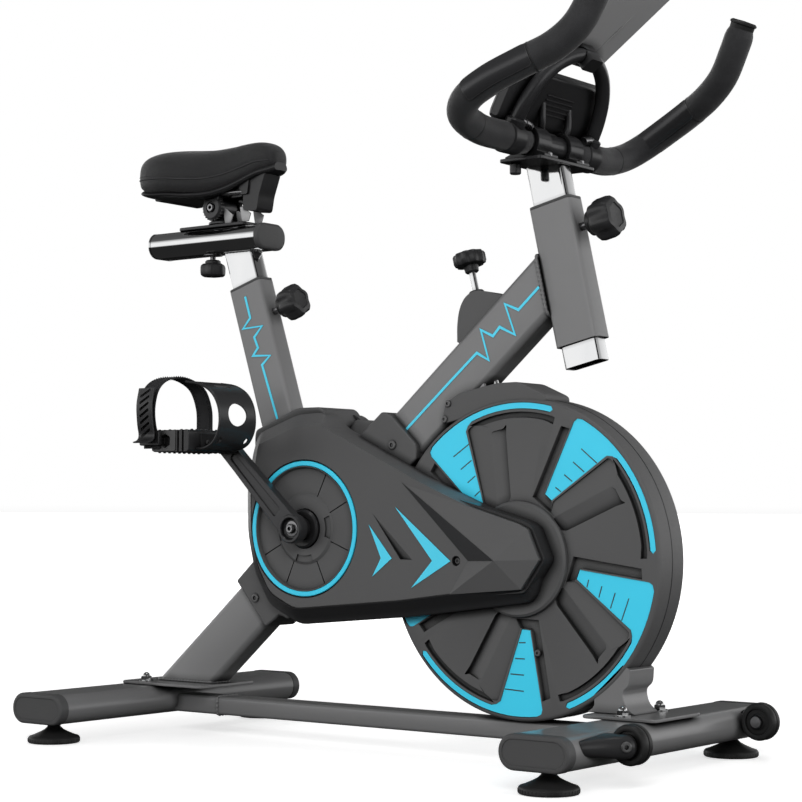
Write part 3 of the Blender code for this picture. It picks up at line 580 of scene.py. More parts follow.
# Bars standing round a ring of the given radius, in the plane of the guide's own Z
def ringGrowth():
    t = Growth("barRing", [("Count", "Int", 24), ("Radius", "Float", 0.03),
        ("Size", "Vector", (0.002, 0.001, 0.004)), ("Rotation", "Vector", (0, 0, 0)),
        ("Place", "Vector", (0, 0, 0)), ("Finish", "Material", None)])
    circleMesh = t.wire("GeometryNodeMeshCircle", {},
        {"Vertices": t.given("Count"), "Radius": t.given("Radius")})
    bar = t.wire("GeometryNodeMeshCube", {}, {"Size": t.given("Size")})
    place = t.wire("GeometryNodeInputPosition", {}, {})
    turn = t.wire("FunctionNodeAlignRotationToVector", {"axis": "X"}, {"Vector": place})
    bars = t.wire("GeometryNodeInstanceOnPoints", {},
        {"Points": circleMesh, "Instance": bar, "Rotation": turn})
    moved = t.wire("GeometryNodeTransform", {},
        {"Geometry": bars, "Rotation": t.given("Rotation"), "Translation": t.given("Place")})
    return t.close(moved)


# Rounded beads along the guide's line, such as stitches, teeth and ribs
def beadGrowth():
    t = Growth("beadLine", [("Spacing", "Float", 0.005), ("Size", "Vector", (0.003, 0.001, 0.001)),
        ("Normal", "Vector", (0, 0, 1)), ("Finish", "Material", None)])
    curve = t.wire("GeometryNodeMeshToCurve", {}, {"Mesh": t.given("Geometry")})
    points = t.node("GeometryNodeCurveToPoints", {"mode": "LENGTH"},
        {"Curve": curve, "Length": t.given("Spacing")})
    ball = t.wire("GeometryNodeMeshIcoSphere", {}, {"Radius": 0.5, "Subdivisions": 2})
    turn = t.wire("FunctionNodeAlignRotationToVector", {"axis": "X"},
        {"Vector": Wire(t, points.outputs["Tangent"])})
    lean = t.wire("FunctionNodeAlignRotationToVector", {"axis": "Z", "pivot_axis": "X"},
        {"Rotation": turn, "Vector": t.given("Normal")})
    beads = t.wire("GeometryNodeInstanceOnPoints", {},
        {"Points": Wire(t, points.outputs[0]), "Instance": ball,
        "Rotation": lean, "Scale": t.given("Size")})
    return t.close(beads)


growths = {"screws": screwGrowth(), "ring": ringGrowth(), "beads": beadGrowth()}


def grow(name, lines, growth, values, finish, body):
    bm = bmesh.new()
    for line in lines:
        verts = [bm.verts.new(p) for p in line]
        for a, b in zip(verts, verts[1:]):
            bm.edges.new((a, b))
    mesh = bpy.data.meshes.new(name)
    bm.to_mesh(mesh)
    bm.free()
    obj = bpy.data.objects.new(name, mesh)
    scene.collection.objects.link(obj)
    mod = obj.modifiers.new("growth", "NODES")
    mod.node_group = growths[growth]
    wanted = {**values, "Finish": finishes[finish]}
    for item in mod.node_group.interface.items_tree:
        if item.in_out == "INPUT" and item.name in wanted:
            mod[item.identifier] = wanted[item.name]
    bake(obj)
    return settle(obj, finish, body, sharp=28)


def screws(name, places, body, radius=0.004, height=0.002, finish="blackSteel", socket=0.5):
    lines = [(Vector(p), Vector(p) + Vector(way).normalized() * 0.01) for p, way in places]
    return grow(name, lines, "screws", {"Radius": radius, "Height": height, "Socket": socket}, finish, body)


print("helpers ready")


# Stage, lights and camera
view = {"place": (1.62880, -2.13620, 0.32179), "azimuth": 37.1912, "pitch": 2.9606, "roll": 0.1095,
    "lens": 90.8}


# name, place, size, power and whether bright metal mirrors it
lights = (
    ("keyLight", (2.0, -2.8, 1.9), (1.6, 1.2), 72, False),
    ("frontLight", (3.2, 0.3, 1.2), (1.2, 1.2), 30, False),
    ("topLight", (0.4, -0.3, 3.2), (1.6, 1.0), 9, True),
    ("sideLight", (-1.6, -2.9, 1.1), (1.2, 1.2), 16, False),
    ("backLight", (-2.6, 2.4, 1.8), (1.8, 1.6), 42, False),
)
skyStops = ((0.46, 0.02), (0.50, 1.0), (0.63, 1.0), (0.74, 0.10), (1.0, 0.06))


def setCamera():
    azimuth, pitch, roll = (radians(view[k]) for k in ("azimuth", "pitch", "roll"))
    look = Vector((-sin(azimuth) * cos(pitch), cos(azimuth) * cos(pitch), sin(pitch)))
    side = look.cross(up).normalized()
    top = side.cross(look)
    right = side * cos(roll) + top * sin(roll)
    above = top * cos(roll) - side * sin(roll)
    data = bpy.data.cameras.new("camera")
    data.lens = view["lens"]
    data.sensor_width = 36
    camera = bpy.data.objects.new("camera", data)
    camera.matrix_world = Matrix.Translation(view["place"]) @ Matrix((right,
        above, -look)).transposed().to_4x4()
    scene.collection.objects.link(camera)
    scene.camera = camera


def softLight(name, place, target, size, power, glossy):
    data = bpy.data.lights.new(name, "AREA")
    data.shape = "RECTANGLE"
    data.size, data.size_y = size
    data.energy = power
    light = bpy.data.objects.new(name, data)
    light.location = place
    light.rotation_euler = (Vector(place) - Vector(target)).to_track_quat("Z", "Y").to_euler()
    light.visible_glossy = glossy
    scene.collection.objects.link(light)


def plainMaterial(name, colour, rough):
    f = Finish(name)
    drift = f.noise(3, 2)
    return f.shade({"Base Color": f.mix(drift, colour, [c * 0.985 for c in colour]), "Roughness": rough})


def setStage():
    bm = bmesh.new()
    addLoft(bm, [ringAt(Vector((0, 0, z)), forward, across, circle(80, 96)) for z in (-0.02, -0.0006)])
    floor = rawPiece("floor", bm)
    look = Finish("paleFloor")
    dust = look.mix(look.noise(3, 2), (0.80, 0.80, 0.80), (0.78, 0.78, 0.78))
    reach = look.wire("ShaderNodeVectorMath", {"operation": "LENGTH"}, {0: look.here}, 1)
    glow = look.mix(look.ramp(reach * 0.1, 0.12, 0.60), (0.62, 0.62, 0.62), (1.4, 1.4, 1.4))
    floor.data.materials.append(look.shade({"Base Color": dust,
        "Roughness": 0.8, "Emission Color": glow, "Emission Strength": 1.0}))
    floor.visible_diffuse = False
    floor.visible_glossy = False
    # dark cards, seen only in reflections, give bright metal its dark stripes
    for name, azimuth, half in (("cardFront", -38, 16), ("cardBack", 127, 19)):
        ring = []
        for k in range(9):
            a = radians(azimuth - half + 2 * half * k / 8)
            ring.append(Vector((cos(a), sin(a), 0)) * 6)
        bm = bmesh.new()
        low = [bm.verts.new(p - up * 1.0) for p in ring]
        high = [bm.verts.new(p + up * 5.0) for p in ring]
        for k in range(8):
            bm.faces.new((low[k], low[k + 1], high[k + 1], high[k]))
        card = rawPiece(name, bm)
        card.data.materials.append(plainMaterial(name, (0.012, 0.012, 0.012), 0.9))
        card.visible_camera = False
        card.visible_diffuse = False
        card.visible_shadow = False
    world = bpy.data.worlds.new("studio")
    world.use_nodes = True
    tree = Tree(world.node_tree.nodes, world.node_tree.links)
    world.node_tree.nodes.clear()
    way = tree.wire("ShaderNodeTexCoord", {}, {}, "Generated")
    height = tree.wire("ShaderNodeSeparateXYZ", {}, {"Vector": way}, "Z")
    sky = tree.wire("ShaderNodeValToRGB", {"stops": skyStops}, {"Fac": height * 0.5 + 0.5}, "Color")
    glow = tree.wire("ShaderNodeBackground", {}, {"Color": sky, "Strength": 1.0})
    tree.node("ShaderNodeOutputWorld", {}, {"Surface": glow})
    scene.world = world
    scene.view_settings.view_transform = "Standard"
    middle = (cadBox[0] + cadBox[1]) / 2
    for name, place, size, power, glossy in lights:
        softLight(name, place, middle, size, power, glossy)


setCamera()
setStage()
print("stage set")


# Frame tubes
beam = {"slope": 41.0, "offset": 0.2922, "deep": 0.070, "wide": 0.040, "corner": 0.008, "start": -0.18,
        "end": 0.74, "plateHalf": 0.058}
beamAlong = Vector((cos(radians(beam["slope"])), 0, sin(radians(beam["slope"]))))
beamNormal = across.cross(beamAlong) * -1
uprights = {"seatDeep": 0.060, "seatWide": 0.032, "headDeep": 0.062, "headWide": 0.034, "headLong": 0.180,
            "corner": 0.0065, "wall": 0.0033}
seatTop = Vector(joints["seat_knob_turn"]["pos_m"]) + seatUp * 0.048
headTop = Vector(joints["bar_knob_turn"]["pos_m"]) + headUp * 0.038


def beamAt(along, rise=0.0, y=0.0):
    return beamNormal * (beam["offset"] + rise) + beamAlong * along + across * y


def onPlane(point, way, plane):
    place, normal = plane
    return point + way * ((Vector(place) - point).dot(normal) / way.dot(normal))


def barRings(start, end, outline, planes=(None, None)):
    way = (end - start).normalized()
    u = across.cross(way)
    rings = []
    for centre, plane in zip((start, end), planes):
        ring = ringAt(centre, u, across, outline)
        rings.append([onPlane(p, way, plane) for p in ring] if plane else ring)
    return rings


def addBar(bm, start, end, outline, planes=(None, None), hole=None):
    rings = barRings(start, end, outline, planes)
    if hole is None:
        addLoft(bm, rings)
    else:
        inner = barRings(start, end, hole, planes)
        addLoft(bm, [rings[0], rings[1], inner[1], inner[0]], loop=True)


def addWeld(bm, ring, size=0.0024, ripple=0.0005):
    path = []
    for a, b in zip(ring, ring[1:] + ring[:1]):
        steps = max(1, int((b - a).length / 0.0016))
        path += [a.lerp(b, k / steps) for k in range(steps)]
    radius = [size + ripple * sin(k * 1.7) for k in range(len(path))]
    addTube(bm, path, radius, 8, closed=True)


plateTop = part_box("rear_plate")[1].z
footPlane = (up * (plateTop + 0.0003), up)
headPlane = (headTop - headFront * (uprights["headDeep"] / 2 + 0.0003), headFront)
beamOutline = ovalBox(beam["deep"], beam["wide"], beam["corner"])
beamRings = barRings(beamAt(beam["start"]), beamAt(beam["end"]), beamOutline, (footPlane, headPlane))
seatOutline = ovalBox(uprights["seatDeep"], uprights["seatWide"], uprights["corner"])
headOutline = ovalBox(uprights["headDeep"], uprights["headWide"], uprights["corner"])
seatFoot = (beamAt(0, beam["deep"] / 2), beamNormal)


def buildTubes():
    piece("mainBeam", form(addLoft, beamRings), "paint", "frame", ["main_beam"])
    piece("seatTube", form(addBar, seatTop - seatUp * 0.30, seatTop, seatOutline,
        (seatFoot, None), shrink(seatOutline, uprights["wall"])), "paint", "frame", ["seat_tube"])
    headLow = headTop - headUp * uprights["headLong"]
    piece("headTube", form(addBar, headLow, headTop, headOutline, (None, None),
        shrink(headOutline, uprights["wall"])), "paint", "frame", ["head_tube"])
    for name, top, way, outline in (("seatSleeve", seatTop, seatUp,
            seatOutline), ("headSleeve", headTop, headUp, headOutline)):
        def build(bm):
            inner = shrink(outline, uprights["wall"] + 0.0003)
            addBar(bm, top - way * 0.03, top + way * 0.001, inner, hole=shrink(inner, 0.0009))
            lip = shrink(outline, 0.0002)
            addBar(bm, top + way * 0.0003, top + way * 0.0038, lip,
                hole=shrink(outline, uprights["wall"] + 0.0012))
        piece(name, form(build), "greyCap", "frame", bevel=0.0006, steps=2)
    low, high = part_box("bottom_rail")
    rail = ovalBox(high.z - low.z, high.y - low.y, 0.0045)
    level = (low.z + high.z) / 2
    ends = Vector((low.x - 0.004, 0, level)), Vector((high.x + 0.004, 0, level))
    piece("bottomRail", form(addBar, *ends, rail), "paint", "frame", ["bottom_rail"])
    for label in ("front", "rear"):
        low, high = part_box(f"{label}_plate")
        outline = ovalBox(high.x - low.x, 2 * beam["plateHalf"], 0.010)
        middle = (low + high) / 2
        piece(f"{label}Plate", form(addSlab, outline, Vector((middle.x, 0, 0)), forward, across,
            [(low.z, 0), (high.z, 0)]), "paint", "frame", [f"{label}_plate"], bevel=0.0012)

    def welds(bm):
        addWeld(bm, beamRings[1])
        addWeld(bm, [p + up * 0.0012 for p in beamRings[0]])
        addWeld(bm, barRings(seatTop - seatUp * 0.30, seatTop, seatOutline, (seatFoot, None))[0])
        for x in (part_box("rear_plate")[1].x - 0.002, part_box("front_plate")[0].x + 0.002):
            addWeld(bm, ringAt(Vector((x, 0, ends[0].z)), up, across, rail), 0.0020)
    piece("welds", form(welds), "paint", "frame", sharp=60)


# A generic pulse line on the two uprights: along the tube, then across it
pulse = {
    "width": 0.0036, "thick": 0.0005,
    "seat": [(-0.0150, -0.002), (-0.047, -0.002), (-0.057, -0.019), (-0.0655, 0.015), (-0.0755, -0.003),
             (-0.092, -0.001), (-0.0997, -0.013), (-0.110, 0.0165), (-0.1175, -0.001), (-0.200, 0.003)],
    "beam": [(0.572, 0.000), (0.531, 0.000), (0.521, 0.020), (0.5065, -0.020), (0.496, 0.0035),
             (0.481, 0.002), (0.4725, 0.021), (0.456, -0.0165), (0.4487, 0.003), (0.397, 0.004),
             (0.2955, 0.005)],
}


def ribbonOutline(line, width):
    pts = [Vector(p) for p in line]
    left, right = [], []
    for k, p in enumerate(pts):
        before = (p - pts[max(k - 1, 0)]).normalized() if k else (pts[1] - p).normalized()
        after = (pts[min(k + 1, len(pts) - 1)] - p).normalized() if k < len(pts) - 1 else before
        n1, n2 = before.orthogonal(), after.orthogonal()
        mitre = (n1 + n2) / max(0.45, 1 + n1.dot(n2)) * width / 2
        left.append(p + mitre)
        right.append(p - mitre)
    return left, right


def addRibbon(bm, line, width, origin, u, v, low, high):
    n = u.cross(v)
    left, right = ribbonOutline(line, width)
    rings = []
    for a, b in zip(left, right):
        rings.append([origin + u * p.x + v * p.y + n * h for p,
            h in ((a, low), (b, low), (b, high), (a, high))])
    addLoft(bm, rings)


def buildPulse():
    for name, line, origin, along, rise, face in (("seatPulse", pulse["seat"], seatTop,
            seatUp, seatFront, uprights["seatWide"] / 2),
            ("beamPulse", pulse["beam"], beamAt(0), beamAlong, beamNormal, beam["wide"] / 2)):
        for side, sign in sides:
            def build(bm):
                start = origin + across * (sign * face)
                u, v = (along, rise) if (along.cross(rise).y > 0) == (sign > 0) else (rise, along)
                points = line if u is along else [(b, a) for a, b in line]
                addRibbon(bm, points, pulse["width"], start, u, v, -0.0002, pulse["thick"])
            piece(f"{name}_{side}", form(build), "cyan", "frame", sharp=20)


# Stabilisers with end caps, transport wheels and levelling feet
base = {"cornerDrop": 0.0004, "capRound": 0.0030, "rim": 0.0026, "dish": 0.0007}


def stadium(node, extra=0.0):
    low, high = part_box(node)
    deep, tall = high.x - low.x + 2 * extra, high.z - low.z + 2 * extra
    return ovalBox(deep, tall, tall / 2 - base["cornerDrop"], 10)


def buildBase():
    for label in ("front", "rear"):
        low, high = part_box(f"{label}_stabiliser")
        middle = (low + high) / 2
        oval = stadium(f"{label}_stabiliser")
        rings = [ringAt(Vector((middle.x, y, middle.z)), forward, up, oval) for y in (low.y, high.y)]
        piece(f"{label}Stabiliser", form(addLoft, rings), "paint", "frame", [f"{label}_stabiliser"])
        for side, sign in sides:
            inside, outside = sorted((abs(v.y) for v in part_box(f"{label}_cap_{side}")))
            bigger = stadium(f"{label}_stabiliser", 0.0006)

            def build(bm):
                r = base["capRound"]
                levels = [(inside, 0.0), (outside - r, 0.0)]
                levels += [(outside - r + r * sin(a), r - r * cos(a))
                    for a in (radians(d) for d in (22, 45, 67, 90))]
                levels += [(outside, r + base["rim"]), (outside - base["dish"], r + base["rim"] + 0.0006)]
                made = [ringAt(Vector((middle.x, sign * y, middle.z)), forward, up,
                    shrink(bigger, trim) if trim else bigger) for y, trim in levels]
                addLoft(bm, made)
            piece(f"{label}Cap_{side}", form(build), "greyCap", "frame", [f"{label}_cap_{side}"], sharp=30)
            buildFoot(label, side)
    for side, sign in sides:
        buildWheel(side, sign)


def buildFoot(label, side):
    node = f"foot_{label}_{side}"
    low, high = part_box(node)
    centre = Vector(((low.x + high.x) / 2, (low.y + high.y) / 2, 0))
    r = (high.x - low.x) / 2

    def build(bm):
        profile = [(0, 0.0415), (0.0048, 0.0415), (0.0048, 0.0260), (0.0070, 0.0255),
            (0.0082, 0.0240), (0.0090, 0.0215), (0.0125, 0.0180), (0.0180, 0.0150),
            (r * 0.80, 0.0105), (r * 0.95, 0.0088), (r - 0.0006, 0.0076), (r, 0.0064), (r, 0.0014),
            (r - 0.0012, 0.0002), (r - 0.008, 0.0), (r - 0.010, 0.0012), (0.006, 0.0012), (0, 0.0012)]
        addTurned(bm, profile, centre, up, 56)
    piece(f"foot_{label}_{side}", form(build), "rubber", node, [node], sharp=30)
    values = {"Count": 44, "Radius": r - 0.0003,
        "Size": (0.0012, 0.0014, 0.0040), "Place": centre + up * 0.0040}
    grow(f"footRibs_{label}_{side}", [(centre, centre + up * 0.01)], "ring", values, "rubber", node)
    profile = [(0.0049, 0.0262), (0.0090, 0.0262), (0.0098, 0.0256),
        (0.0098, 0.0232), (0.0090, 0.0226), (0.0049, 0.0226)]
    piece(f"footNut_{label}_{side}", form(addTurned, profile[::-1], centre, up, 6),
        "blackSteel", node, bevel=0.0004)


def buildWheel(side, sign):
    low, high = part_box(f"transport_wheel_{side}")
    centre = (low + high) / 2
    r, half = (high.x - low.x) / 2, (high.y - low.y) / 2
    profile = [(0.0042, half - 0.0015), (0.0080, half - 0.0010), (0.0105, half - 0.0030),
        (r * 0.66, half - 0.0030), (r * 0.70, half - 0.0006), (r * 0.80, half), (r - 0.0022, half - 0.0004),
        (r - 0.0006, half - 0.0022), (r, half - 0.0045), (r - 0.0004, 0.0012), (r - 0.0012, 0.0006)]
    full = profile + [(a, -b) for a, b in profile[::-1]]
    piece(f"wheel_{side}", form(addTurned, full, centre, across, 48),
        "rubber", f"wheel_{side}", [f"transport_wheel_{side}"], sharp=30)
    near = sign * (abs(centre.y) + half + 0.0005)
    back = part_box("front_stabiliser")[1].x - 0.012
    middle = centre.z - 0.001

    # a fairing: a round eye beside the wheel that thins out towards the end cap
    def bracket(bm):
        rings = []
        for y, reach, half in ((0.0, 0.0125, 0.0128), (0.0012, 0.0138, 0.0138),
                (0.0080, 0.0138, 0.0138), (0.0180, 0.0030, 0.0125), (0.0320, -0.0110, 0.0110),
                (0.0480, -0.0215, 0.0090), (0.0540, -0.0260, 0.0070)):
            tip = centre.x + reach
            section = ovalBox(tip - back, 2 * half, half * 0.96, 8)
            at = Vector(((tip + back) / 2, near + sign * y, middle))
            rings.append(ringAt(at, forward, up, section))
        addLoft(bm, rings)
    piece(f"wheelBracket_{side}", form(bracket), "black", "frame", [f"wheel_bracket_{side}"], sharp=50)
    pin = [(0, 0.0), (0.0039, 0.0), (0.0039, 0.0215), (0.0075, 0.0216), (0.0070, 0.0240), (0, 0.0244)]
    piece(f"wheelPin_{side}", form(addTurned, pin, Vector((centre.x, near, centre.z)),
        across * -sign, 24), "steel", "frame")
    screws(f"wheelBolt_{side}", [((centre.x + 0.0068, near + sign * 0.0128, centre.z),
        (0.80, sign, 0))], "frame", 0.0062, 0.0036, socket=0.45)


# Plated dome nuts on the plates
def domeNuts():
    nut = {"across": 0.0078, "tall": 0.0060, "dome": 0.0056, "spread": 0.044}
    places = []
    for x in (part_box("front_stabiliser")[0].x + 0.0405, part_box("rear_stabiliser")[0].x + 0.0535):
        places += [(x, -nut["spread"]), (x, nut["spread"])]

    def build(bm):
        for x, y in places:
            foot = Vector((x, y, plateTop + 0.0002))
            addTurned(bm, [(0, 0.0), (0.0100, 0.0), (0.0100, 0.0014),
                (0.0066, 0.0016), (0, 0.0016)], foot, up, 28)
            addTurned(bm, [(0, 0.0015), (nut["across"], 0.0016),
                (nut["across"], nut["tall"]), (0.0062, 0.0072), (0, 0.0072)], foot, up, 6)
            cap = [(nut["dome"] * cos(a), 0.0068 + nut["dome"] * sin(a))
                for a in (radians(d) for d in (0, 20, 40, 60, 78))]
            addTurned(bm, [(0, 0.0068), *cap, (0, 0.0068 + nut["dome"])], foot, up, 24)
    piece("domeNuts", form(build), "chrome", "frame", sharp=30)


def buildFork():
    low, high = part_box("fork_foot")
    half = (high.y - low.y) / 2
    front = smoothPath([(high.x - 0.004, 0, high.z - 0.003),
        (high.x - 0.006, 0, high.z - 0.020), (high.x - 0.014, 0, low.z + 0.026),
        (high.x - 0.010, 0, low.z + 0.010), (high.x + 0.002, 0, low.z)], 5)
    rear = smoothPath([(low.x - 0.006, 0, low.z),
        (low.x + 0.004, 0, low.z + 0.008), (low.x + 0.004, 0, low.z + 0.022)], 4)
    outline = [(p.x, p.z) for p in rear] + [(high.x - 0.014, high.z + 0.004)] + [(p.x, p.z) for p in front]
    piece("forkNeck", form(addSide, outline, -half, half), "paint", "frame", ["fork_foot"], bevel=0.0035)


def buildFrame():
    buildTubes()
    buildPulse()
    buildBase()
    domeNuts()
    buildFork()
    print("frame built")


buildFrame()


# Belt guards: a shallow shell with a rounded shoulder, a dished disc round the crank and a faceted prow
guard = {
    "outline": [(-0.219, 0.347), (-0.218, 0.285), (-0.206, 0.234), (-0.178, 0.188), (-0.124, 0.163),
                (0.056, 0.179), (0.246, 0.204), (0.266, 0.257), (0.244, 0.292), (0.082, 0.357),
                (-0.067, 0.427), (-0.084, 0.446), (-0.130, 0.444), (-0.200, 0.420), (-0.210, 0.394)],
    "leads": [0.022] * 6 + [0.008, 0.008, 0.003, 0.003, 0.004, 0.017, 0.020, 0.020, 0.022],
    "back": 0.0215, "shoulder": 0.018, "wall": 0.0030, "ringOut": 0.0900, "ringIn": 0.0822, "dish": 0.0045,
    "eye": 0.0270,
    "prow": 0.0100, "corner": 0.012, "skirtEdges": 6,
    "facets": [(0.0600, 0.3510), (0.1635, 0.2530), (0.1340, 0.2100), (0.2420, 0.2190), (0.2690, 0.2560),
               (0.2520, 0.2935), (0.2380, 0.3000)],
    "ridge": (0.2085, 0.2540),
}


# Each edge of a flat outline moved inwards by its own amount, whichever way round the outline runs
def trimmed(outline, amounts):
    pts = [Vector(p) for p in outline]
    turn = sum(a.x * b.y - b.x * a.y for a, b in zip(pts, pts[1:] + pts[:1]))
    sign = 1 if turn > 0 else -1
    lines = []
    for k, p in enumerate(pts):
        along = (pts[(k + 1) % len(pts)] - p).normalized()
        lines.append((p + along.orthogonal() * sign * amounts[k], along))
    result = []
    for k in range(len(pts)):
        (p, a), (q, b) = lines[k - 1], lines[k]
        cross = a.x * b.y - a.y * b.x
        reach = ((q - p).x * b.y - (q - p).y * b.x) / cross if abs(cross) > 1e-4 else 0
        result.append(tuple(p + a * reach if abs(cross) > 1e-4 else q))
    return result


def guardLine(amount, extra=0.0):
    g = guard
    return rounded(trimmed(g["outline"], [lead * amount + extra for lead in g["leads"]]), g["corner"], 3)


def guardShape(levels):
    return form(addLoft, [[Vector((x, y, z)) for x,
        z in guardLine(amount, extra)] for y, amount, extra in levels])


# The dark skirt is a thin skin over the lower shoulder, from the top of the left edge round to the prow
def addSkirt(bm, sign, face):
    g = guard
    outline = guardLine(0)
    rings = []
    for k in range(1, g["skirtEdges"] * 4 + 6):
        ring = []
        for lift, order in ((0.0006, 1), (-0.0014, -1)):
            row = []
            for y, amount in ((0.0230, 0), (face - g["shoulder"], 0), (face - 0.0010, 0.93)):
                x, z = guardLine(amount, -lift)[k % len(outline)]
                row.append(Vector((x, sign * (y + (lift if amount else 0)), z)))
            ring += row[::order]
        rings.append(ring)
    addLoft(bm, rings)


def buildGuard(side, sign):
    low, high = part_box(f"belt_guard_{side}")
    face = max(abs(low.y), abs(high.y))
    g = guard
    back = g["back"]
    levels = [(sign * back, 0, 0), (sign * (face - g["shoulder"]), 0, 0), (sign * face, 1, 0)]
    obj = rawPiece(f"guard_{side}", guardShape(levels))
    inner = [(sign * (back - 0.006), 0, g["wall"]),
        (sign * (face - g["shoulder"] - 0.001), 0, g["wall"]), (sign * (face - 0.0085), 1, 0.002)]
    cutters = [guardShape(inner)]
    # dished disc, crank eye, radial lines and arc pockets
    eyeAt = Vector((crankAt.x, 0, crankAt.z))
    outward = across * sign
    surface = eyeAt + outward * face
    dish = [(0, 0.01), (g["ringIn"], 0.01), (g["ringIn"], -0.0008),
        (g["ringIn"] - 0.0022, -g["dish"]), (0.0480, -g["dish"]), (0.0440, -g["dish"] + 0.0022),
        (0.0300, -g["dish"] + 0.0022), (0, -g["dish"] + 0.0022)]
    cutters.append(form(addTurned, dish, surface, outward, 96))
    groove = [(g["ringOut"] + 0.0022, 0.01), (g["ringOut"] + 0.0022, -0.0008),
        (g["ringOut"] + 0.0004, -0.0026), (g["ringIn"] + 0.0008, -0.0026), (g["ringIn"] + 0.0008, 0.01)]
    cutters.append(form(addTurned, groove, surface, outward, 96))
    cutters.append(form(addTurned,
        [(0, -0.05), (g["eye"], -0.05), (g["eye"], 0.02), (0, 0.02)], surface, outward, 64))
    for turn in (64, 27, -21, -65, -114, -153):
        way = Vector((cos(radians(turn)), 0, sin(radians(turn))))
        flank = outward.cross(way)

        def line(bm):
            start = surface + way * 0.047
            addSlab(bm, [(0, -0.0007), (0.0325, -0.0009), (0.0325, 0.0009),
                (0, 0.0007)], start, way, flank, [(-0.0064, 0), (0.003, 0)])
        cutters.append(form(line))
    for turn in (3, -90, 183):
        def pocket(bm):
            pts = arc(0, 0, 0.0465, turn - 21, turn + 21, 10) + arc(0, 0, 0.0350, turn + 21, turn - 21, 10)
            rings = []
            for y, trim in ((0.003, 0.0), (-0.0042, 0.0012)):
                shape = shrink(pts, trim) if trim else pts
                rings.append([surface + outward * y + forward * a + up * b for a, b in shape])
            addLoft(bm, rings)
        cutters.append(form(pocket))
    # the small dart beside the first chevron, deepest at its root
    dart = bmesh.new()
    for x, z, y in ((0.0060, 0.3190, 0.0006), (0.0570, 0.2530, 0.0006),
            (0.0790, 0.2525, 0.0006), (0.0570, 0.2530, -0.0050)):
        dart.verts.new((x, sign * (face + y), z))
    bmesh.ops.convex_hull(dart, input=dart.verts[:])
    cutters.append(dart)
    screwAt = Vector((0.1450, sign * face, 0.2525))
    cutters.append(form(addTurned,
        [(0, -0.0055), (0.0062, -0.0055), (0.0066, 0.003), (0, 0.003)], screwAt, outward, 28))
    carve(obj, cutters)
    settle(obj, "housing", "frame", [f"belt_guard_{side}"], bevel=0.0007, steps=2, sharp=20)
    ringBand = [(g["ringOut"], -0.0035), (g["ringOut"], -0.0004), (g["ringOut"] - 0.0008, 0.0004),
        (g["ringIn"] + 0.0022, 0.0004), (g["ringIn"] + 0.0014, -0.0004), (g["ringIn"] + 0.0014, -0.0035)]
    piece(f"guardRing_{side}", form(addTurned, ringBand, surface, outward, 96), "cyan", "frame")

    def chevrons(bm):
        for points in ([(0.006, 0.297), (0.026, 0.254), (0.012, 0.230), (0.0435, 0.254)],
                [(0.049, 0.320), (0.108, 0.252), (0.075, 0.217), (0.1365, 0.252)]):
            addSide(bm, points, sign * (face - 0.0008), sign * (face + 0.0005))
    piece(f"guardChevrons_{side}", form(chevrons), "cyan", "frame", sharp=20)
    screws(f"guardScrew_{side}", [(screwAt - outward * 0.0050, outward)], "frame", 0.0044, 0.0022)
    piece(f"guardSkirt_{side}", form(addSkirt, sign, face), "black", "frame", sharp=30)

    # the prow: seven facets that meet at one proud point, on a dark band round the nose
    def prow(bm):
        low = [bm.verts.new((x, sign * (face - 0.0110), z)) for x, z in g["facets"]]
        high = [bm.verts.new((x, sign * (face - 0.0001), z)) for x, z in g["facets"]]
        x, z = g["ridge"]
        tip = bm.verts.new((x, sign * (face + g["prow"]), z))
        bm.faces.new(low)
        for k in range(len(high)):
            j = (k + 1) % len(high)
            bm.faces.new((low[k], low[j], high[j], high[k]))
            bm.faces.new((high[k], high[j], tip))
    piece(f"guardProw_{side}", form(prow), "housing", "frame", bevel=0.0004, steps=1, sharp=3)
    # painted shade: a black sheet over the facet between the first two facet points and the ridge, which
    # stands in for the shade that facet lies in
    (ax, az), (bx, bz), (cx, cz) = g["facets"][0], g["facets"][1], g["ridge"]
    shade = [Vector((ax, sign * face, az)), Vector((bx, sign * face, bz)),
        Vector((cx, sign * (face + g["prow"]), cz))]
    proud = (shade[1] - shade[0]).cross(shade[2] - shade[0]).normalized()
    proud = proud if proud.y * sign > 0 else -proud
    piece(f"prowShade_{side}", form(addLoft,
        [[p - proud * 0.0006 for p in shade], [p + proud * 0.0003 for p in shade]]), "black", "frame")
    band = rounded(shrink(g["facets"], -0.0045), 0.006, 3)
    piece(f"prowBand_{side}", form(addSide, band, sign * 0.0382,
        sign * (face - 0.0060)), "black", "frame", bevel=0.0012)


